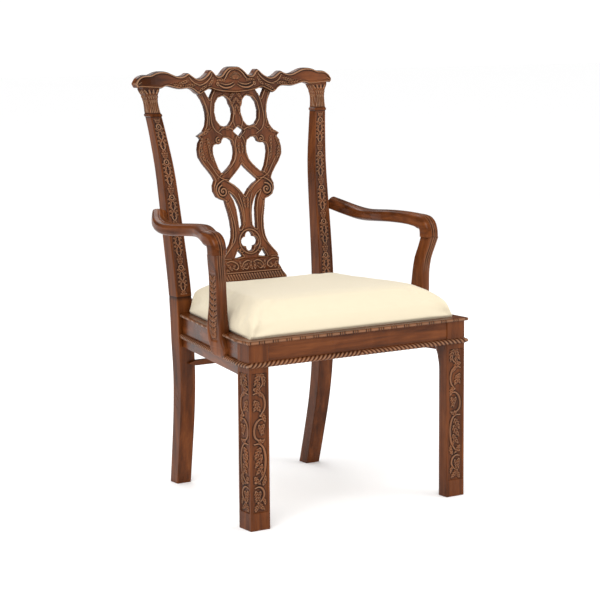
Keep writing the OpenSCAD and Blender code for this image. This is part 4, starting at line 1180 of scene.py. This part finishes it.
class ARMCHAIR_OT_ropes(bpy.types.Operator):
    """Twisted rope moulding round the frame, its strands laid towards the middle"""

    bl_idname = "armchair.ropes"
    bl_label = "Rope mouldings"

    def execute(self, context):
        pitch = context.scene.armchair_sizes.rope_pitch / MM
        leg_face = low("front_leg_right")[1]
        leg_side = high("front_leg_right")[0]
        reach = ROPE_R
        front = curve([(-leg_side, leg_face), (0, leg_face), (leg_side, leg_face)], 0.9)
        self.rope(context, "rope_front", front, np.array([0, -1.0]), pitch, reach, True)
        for side, name in SIDES:
            node = "rope_" + name
            rear = high(node)[1]
            cut = slices(node, 1, [leg_face + LEG_W + 20, rear - 0.2])
            x = np.abs(cut[:, 1, 0] if side > 0 else cut[:, 0, 0]) - reach
            corner = (leg_side, leg_face + LEG_W)
            y = np.concatenate([np.arange(leg_face, corner[1], 0.9), np.arange(corner[1], rear, 0.9), [rear]])
            xs = np.where(y <= corner[1], leg_side,
                          np.interp(y, [corner[1], leg_face + LEG_W + 20, rear - 0.2, rear],
                                    [leg_side, x[0], x[1], x[1]]))
            line = np.stack([xs * side, y], 1)
            self.rope(context, node, line, np.array([side * 1.0, 0]), pitch, reach, False)
        return {"FINISHED"}

    @staticmethod
    def rope(context, node, line, outward, pitch, reach, mirrored):
        turn = np.radians(np.linspace(-90, 90, 15))
        tangent = np.gradient(line, axis=0)
        tangent /= np.linalg.norm(tangent, axis=1)[:, None]
        normal = np.stack([tangent[:, 1], -tangent[:, 0]], 1)
        normal *= np.sign(normal @ outward)[:, None]
        run = np.concatenate([[0], np.cumsum(np.linalg.norm(np.diff(line, axis=0), axis=1))])
        middle = run[-1] / 2 if mirrored else 0.0
        lay = np.abs(run - middle) if mirrored else run
        count = len(turn) + 2

        def place(column, row):
            inside = column >= len(turn)
            angle = turn[np.minimum(column, len(turn) - 1)]
            slope = 0.85 * angle * reach
            phase = math.pi * (lay[row] + slope) / pitch
            strand = np.abs(np.cos(phase)) ** 0.55
            radius = reach * (0.70 + 0.32 * strand)
            out = radius * np.cos(angle)
            up = radius * np.sin(angle)
            out = np.where(inside, 0.0, out)
            up = np.where(inside, np.where(column == len(turn), reach * 0.95, -reach * 0.95), up)
            mitre = out * (1.0 if mirrored else 0.0)
            past = np.where(run[row] < 0.01, -1, np.where(run[row] > run[-1] - 0.01, 1, 0)) * mitre
            if not mirrored:
                past = np.where(run[row] < 0.01, -out, 0)
            plan = line[row] + normal[row] * out[:, None] + tangent[row] * past[:, None]
            # painted shade between the strands, painted highlight on their outward crowns
            recess = np.where(inside, 0.0, unit(1 - strand * 1.25))
            worn = np.where(inside, 0.0, unit((strand - 0.8) * 4) * np.cos(angle) * 0.9)
            return np.stack([plan[:, 0], plan[:, 1], ROPE_Z + reach + up], 1), recess, worn

        mesh = wrap("twisted_" + node, place, count, len(line) - 1)
        carved(context, mesh, node, "x" if mirrored else "y", 60)


class ARMCHAIR_OT_lips(bpy.types.Operator):
    """Thin moulding round the seat, its edge carved with bars and pairs of beads"""

    bl_idname = "armchair.lips"
    bl_label = "Seat mouldings"

    def execute(self, context):
        pitch = context.scene.armchair_sizes.bead_pitch / MM
        width = high("lip_front")[1] - low("lip_front")[1]
        reach, front = high("lip_front")[0], low("lip_front")[1]
        x = np.linspace(-reach, reach, int(2 * reach / 0.8))
        outer = np.stack([x, np.full(len(x), front)], 1)
        inner = np.stack([x * (reach - width) / reach, np.full(len(x), front + width)], 1)
        self.lip(context, "lip_front", outer, inner, pitch, "x")
        kink = low("front_leg_right")[1] + LEG_W + 0.7
        for side, name in SIDES:
            node = "lip_" + name
            rear = high(node)[1]
            levels = np.array([kink + 20, rear - 30])
            cut = slices(node, 1, levels)
            edges = np.abs(cut[:, :, 0])
            slope = [np.polyfit(levels, pick(edges, axis=1), 1) for pick in (np.max, np.min)]
            y = np.concatenate([np.arange(front, kink, 0.8), np.arange(kink, rear, 0.8), [rear]])
            outer_x = np.interp(y, [front, kink, rear], [reach, reach, np.polyval(slope[0], rear)])
            inner_y = np.interp(y, [front, kink, rear], [front + width, kink + 3, rear])
            inner_x = np.interp(inner_y, [front + width, kink + 3, rear],
                                [reach - width, reach - width, np.polyval(slope[1], rear)])
            outer = np.stack([outer_x * side, y], 1)
            inner = np.stack([inner_x * side, inner_y], 1)
            self.lip(context, node, outer, inner, pitch, "y")
        return {"FINISHED"}

    @staticmethod
    def lip(context, node, outer, inner, pitch, grain):
        """One length of moulding between its outer and its inner line."""
        half = (SEAT_H - low("lip_front")[2]) / 2
        edge = np.radians(np.linspace(-80, 80, 9))
        run = np.concatenate([[0], np.cumsum(np.linalg.norm(np.diff(outer, axis=0), axis=1))])
        s = np.mod(run - (run[-1] / 2 if grain == "x" else 0) + pitch / 2, pitch)
        bar = np.sqrt(unit(1 - ((s - pitch / 2) / 11.5) ** 6))
        beads = sum(np.sqrt(unit(1 - ((s - c) / 2.6) ** 2)) for c in (2.9, pitch - 2.9))
        shape = np.maximum(bar, beads)
        width = np.linalg.norm(inner - outer, axis=1)
        # after the edge come the top near the edge, the top's inner side and the underside's
        flat_up = np.array([half, half, -half])

        def place(column, row):
            carved = column < len(edge)
            angle = edge[np.minimum(column, len(edge) - 1)]
            spare = np.clip(column - len(edge), 0, 2)
            out = 3.4 - 3.4 * np.cos(angle) * (0.55 + 0.45 * shape[row])
            share = np.where(carved, out / width[row], np.where(spare == 0, 6 / width[row], 1.0))
            up = np.where(carved, half * np.sin(angle) / math.sin(edge[-1]), flat_up[spare])
            plan = outer[row] + (inner[row] - outer[row]) * share[:, None]
            # painted shade between the bars and beads, painted highlight on their fronts
            recess = np.where(carved, unit(1 - shape[row] * 1.15) * np.cos(angle), 0.0)
            worn = np.where(carved, shape[row] * np.cos(angle) ** 2 * 0.5, 0.0)
            return np.stack([plan[:, 0], plan[:, 1], SEAT_H - half + up], 1), recess, worn

        mesh = wrap("beaded_" + node, place, len(edge) + 3, len(outer) - 1)
        carved(context, mesh, node, grain, 60)


class ARMCHAIR_OT_cushion(bpy.types.Operator):
    """Padded seat in cream cloth, blown up by a cloth simulation and drawn under the seat frame"""

    bl_idname = "armchair.cushion"
    bl_label = "Seat cushion"

    def execute(self, context):
        sizes = context.scene.armchair_sizes
        hem = low("seat_cover")[2] + 0.7
        cell = CELL
        mesh = self.softened(remeshed(context, self.stuffing(hem), cell), ROUNDING)
        mesh = self.blown(context, mesh, sizes)
        self.settled(mesh)
        self.softened(mesh, EASING)
        piece = finish(context, mesh, library(context)["cream_linen"], "seat", ["seat_cover", "seat_pad"],
                       180)
        soften = piece.modifiers.new("soften", "SUBSURF")
        soften.levels = soften.render_levels = 1
        self.hollowed(context, piece, hem)
        return {"FINISHED"}

    @staticmethod
    def stuffing(hem):
        """The pad's shape with its underside drawn down to the hem, a little inside the cover."""
        mesh = copy_of("seat_pad", "padded_seat")
        points, _ = arrays(mesh)
        points[:, 2] = np.where(points[:, 2] < low("seat_pad")[2] + 0.5, hem, points[:, 2])
        points[:, 2] -= STUFFING_DROP * np.clip(points[:, 2] - SEAT_H - 10, 0, None)
        put(mesh, points)
        mesh.update()
        return mesh

    @staticmethod
    def softened(mesh, passes):
        """Rounds the corners and edges above the moulding, a little with each pass."""
        bm = bmesh.new()
        bm.from_mesh(mesh)
        loose = [v for v in bm.verts if v.co.z > (SEAT_H + 6) * MM]
        for _ in range(passes):
            bmesh.ops.smooth_vert(bm, verts=loose, factor=0.5,
                                  use_axis_x=True, use_axis_y=True, use_axis_z=True)
        bm.to_mesh(mesh)
        bm.free()
        return mesh

    @staticmethod
    def blown(context, mesh, sizes):
        """The cloth, swollen by air and held where the moulding and the tacks hold it."""
        start, _ = arrays(mesh)
        cloth_piece = bpy.data.objects.new("cloth", mesh)
        context.scene.collection.objects.link(cloth_piece)
        held = cloth_piece.vertex_groups.new(name="held")
        held.add([int(k) for k in np.nonzero(start[:, 2] < SEAT_H + HELD_TO)[0]], 1.0, "REPLACE")
        cloth = cloth_piece.modifiers.new("cloth", "CLOTH")
        cloth.settings.quality = 6
        cloth.settings.mass = 0.2
        cloth.settings.tension_stiffness = 22
        cloth.settings.compression_stiffness = 22
        cloth.settings.bending_stiffness = 1.2
        cloth.settings.use_pressure = True
        cloth.settings.uniform_pressure_force = AIR
        cloth.settings.vertex_group_mass = "held"
        cloth.settings.effector_weights.gravity = 0
        cloth.point_cache.frame_start = 1
        cloth.point_cache.frame_end = sizes.frames
        for step in range(1, sizes.frames + 1):
            context.scene.frame_set(step)
        graph = context.evaluated_depsgraph_get()
        out = bpy.data.meshes.new_from_object(cloth_piece.evaluated_get(graph))
        swollen, _ = arrays(out)
        move = swollen - start
        length = np.linalg.norm(move, axis=1)
        cap = sizes.cap / MM
        scale = np.where(length > cap, cap / np.maximum(length, 1e-9), 1.0)
        put(out, start + move * scale[:, None])
        context.scene.frame_set(1)
        bpy.data.objects.remove(cloth_piece)
        mesh.name = "old_cloth"
        out.name = "padded_seat"
        return out

    @staticmethod
    def settled(mesh):
        """Keeps the cloth inside the moulding below and inside the cover's own outline above."""
        points, _ = arrays(mesh)
        lo, hi = low("seat_cover"), high("seat_cover")
        y = np.linspace(lo[1] + 1, hi[1] - 1, 40)
        outline = slices("seat_cover", 1, y)[:, 1, 0]
        lip_y = np.linspace(high("lip_front")[1] + 8, high("lip_right")[1] - 45, 12)
        moulding = slices("lip_right", 1, lip_y)[:, 0, 0]
        rebate = np.minimum(np.interp(points[:, 1], y, outline),
                            np.polyval(np.polyfit(lip_y[4:], moulding[4:], 1), points[:, 1]) - 1.5)
        above = unit((points[:, 2] - SEAT_H - 0.8) / 2.5)
        limit = rebate + (np.interp(points[:, 1], y, outline) - rebate) * above
        front = high("lip_front")[1] + 1.5
        points[:, 0] = np.clip(points[:, 0], -limit, limit)
        points[:, 1] = np.clip(points[:, 1], front + (lo[1] - front) * above, hi[1] - 0.2)
        points[:, 2] = np.clip(points[:, 2], lo[2] + 0.7, hi[2] + 2)
        put(mesh, points)
        mesh.update()

    @staticmethod
    def hollowed(context, piece, hem):
        """Cuts the room for the seat frame and its webbing, and leaves the hem turned in under it."""
        corners = np.concatenate([triangles("seat_frame_" + part).reshape(-1, 3)
                                  for part in ("front", "back", "left", "right")])
        middle = (corners.max(0) + corners.min(0)) / 2
        size = corners.max(0) - corners.min(0)
        roof = high("hessian")[2] + 0.3
        for margin, bottom, top in ((-0.1, hem + 0.75, roof), (23.0, hem - 8, hem + 4)):
            shrink = 1 - 2 * margin / size[:2]
            bm = bmesh.new()
            for level in (bottom, top):
                for plan in np.unique(np.round(corners[:, :2], 2), axis=0):
                    place = middle[:2] + (plan - middle[:2]) * shrink
                    bm.verts.new(Vector((place[0], place[1], level)) * MM)
            hull = bmesh.ops.convex_hull(bm, input=bm.verts)
            bmesh.ops.delete(bm, geom=[v for v in hull["geom_interior"] if isinstance(v, bmesh.types.BMVert)],
                             context="VERTS")
            bmesh.ops.recalc_face_normals(bm, faces=bm.faces)
            mesh = bpy.data.meshes.new("room")
            bm.to_mesh(mesh)
            bm.free()
            room = bpy.data.objects.new("room", mesh)
            context.scene.collection.objects.link(room)
            cut = piece.modifiers.new("cut", "BOOLEAN")
            cut.operation = "DIFFERENCE"
            cut.solver = "EXACT"
            cut.object = room
        graph = context.evaluated_depsgraph_get()
        made = bpy.data.meshes.new_from_object(piece.evaluated_get(graph))
        rooms = [cut.object for cut in piece.modifiers if cut.type == "BOOLEAN"]
        piece.modifiers.clear()
        piece.data = made
        for room in rooms:
            bpy.data.objects.remove(room)
        made.shade_smooth()
        made.set_sharp_from_angle(angle=math.radians(50))


class ARMCHAIR_OT_plain_parts(bpy.types.Operator):
    """Finishes for the frame's plain parts, which keep their CAD shape"""

    bl_idname = "armchair.plain_parts"
    bl_label = "Plain parts"

    def execute(self, context):
        finishes = library(context)
        grains = {"front_rail": "x", "back_rail": "x", "rear_stay": "x", "side_rail_left": "y",
                  "side_rail_right": "y"}
        for name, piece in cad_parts.items():
            if name in grains:
                chosen = finishes["mahogany_along_" + grains[name]]
            elif "screw" in name or "tack" in name:
                chosen = finishes["bright_steel"]
            elif name.startswith("webbing"):
                chosen = finishes["jute_web"]
            elif name == "hessian":
                chosen = finishes["hessian_cloth"]
            else:
                chosen = finishes["bare_beech"]
            for index in range(len(piece.material_slots)):
                piece.material_slots[index].material = chosen
        return {"FINISHED"}


class ARMCHAIR_OT_stage(bpy.types.Operator):
    """Pale floor, soft lights and the camera"""

    bl_idname = "armchair.stage"
    bl_label = "Stage"

    def execute(self, context):
        scene = context.scene
        bm = bmesh.new()
        bmesh.ops.create_grid(bm, x_segments=1, y_segments=1, size=30)
        mesh = bpy.data.meshes.new("floor")
        bm.to_mesh(mesh)
        bm.free()
        floor = bpy.data.objects.new("floor", mesh)
        scene.collection.objects.link(floor)
        shop = Shop("pale_floor")
        mesh.materials.append(shop.surface(Base_Color=(0.97, 0.97, 0.97), Roughness=0.9,
                                           Specular_IOR_Level=0.1))
        scene.world = self.studio()
        target = Vector((0, 0, 0.5))
        for name, place, size, power in (("key", (-2.4, -2.2, 3.4), 2.2, 85),
                                         ("fill", (2.6, -2.6, 1.8), 2.4, 35),
                                         ("back", (0.6, 2.6, 3.0), 2.0, 30)):
            light = bpy.data.lights.new(name, "AREA")
            light.size = size
            light.energy = power
            lamp = bpy.data.objects.new(name, light)
            lamp.location = place
            lamp.rotation_euler = (target - lamp.location).to_track_quat("-Z", "Y").to_euler()
            scene.collection.objects.link(lamp)
        self.camera(scene)
        scene.view_settings.view_transform = "Standard"
        return {"FINISHED"}

    @staticmethod
    def studio():
        """White surroundings, dimmer in reflections, as between softboxes."""
        world = bpy.data.worlds.new("studio")
        world.use_nodes = True
        tree = world.node_tree
        background = tree.nodes["Background"]
        background.inputs[0].default_value = (1, 1, 1, 1)
        ray = tree.nodes.new("ShaderNodeLightPath")
        strength = tree.nodes.new("ShaderNodeMapRange")
        strength.inputs["To Min"].default_value = DAYLIGHT
        strength.inputs["To Max"].default_value = GLOSS
        tree.links.new(ray.outputs["Is Glossy Ray"], strength.inputs["Value"])
        tree.links.new(strength.outputs[0], background.inputs[1])
        return world

    @staticmethod
    def camera(scene):
        """The camera, aimed at a point in the chair from a set azimuth, height and distance."""
        level = math.cos(ELEVATION)
        back = Vector((math.sin(AZIMUTH) * level, -math.cos(AZIMUTH) * level, math.sin(ELEVATION)))
        right = Vector((math.cos(AZIMUTH), math.sin(AZIMUTH), 0))
        upward = right.cross(-back)
        tilted = right * math.cos(ROLL) + upward * math.sin(ROLL)
        upright = upward * math.cos(ROLL) - right * math.sin(ROLL)
        data = bpy.data.cameras.new("camera")
        data.lens = LENS
        data.sensor_width = SENSOR
        data.shift_x, data.shift_y = CAMERA_SHIFT
        data.clip_end = 100
        camera = bpy.data.objects.new("camera", data)
        turned = Matrix((tilted, upright, back)).transposed().to_4x4()
        camera.matrix_world = Matrix.Translation(Vector(CAMERA_TARGET) + back * CAMERA_DISTANCE) @ turned
        scene.collection.objects.link(camera)
        scene.camera = camera


class ARMCHAIR_PT_panel(bpy.types.Panel):
    """The chair's pieces, sizes and colours"""

    bl_idname = "ARMCHAIR_PT_panel"
    bl_label = "Armchair"
    bl_space_type = "VIEW_3D"
    bl_region_type = "UI"
    bl_category = "Armchair"

    def draw(self, context):
        layout = self.layout
        for group in (context.scene.armchair_sizes, context.scene.armchair_colours):
            for name in group.__annotations__:
                layout.prop(group, name)
        for operator in OPERATORS:
            layout.operator(operator.bl_idname)


OPERATORS = (ARMCHAIR_OT_stage, ARMCHAIR_OT_plain_parts, ARMCHAIR_OT_front_legs, ARMCHAIR_OT_posts,
             ARMCHAIR_OT_crest, ARMCHAIR_OT_splat, ARMCHAIR_OT_shoe, ARMCHAIR_OT_arms,
             ARMCHAIR_OT_supports, ARMCHAIR_OT_ropes, ARMCHAIR_OT_lips, ARMCHAIR_OT_cushion)
CLASSES = (ArmchairSizes, ArmchairColours, *OPERATORS, ARMCHAIR_PT_panel)


def register():
    for item in CLASSES:
        bpy.utils.register_class(item)
    bpy.types.Scene.armchair_sizes = PointerProperty(type=ArmchairSizes)
    bpy.types.Scene.armchair_colours = PointerProperty(type=ArmchairColours)


def unregister():
    del bpy.types.Scene.armchair_sizes
    del bpy.types.Scene.armchair_colours
    for item in reversed(CLASSES):
        bpy.utils.unregister_class(item)


def main():
    """Makes every piece and the stage."""
    register()
    for operator in OPERATORS:
        group, name = operator.bl_idname.split(".")
        getattr(getattr(bpy.ops, group), name)()


if __name__ == "__main__":
    main()
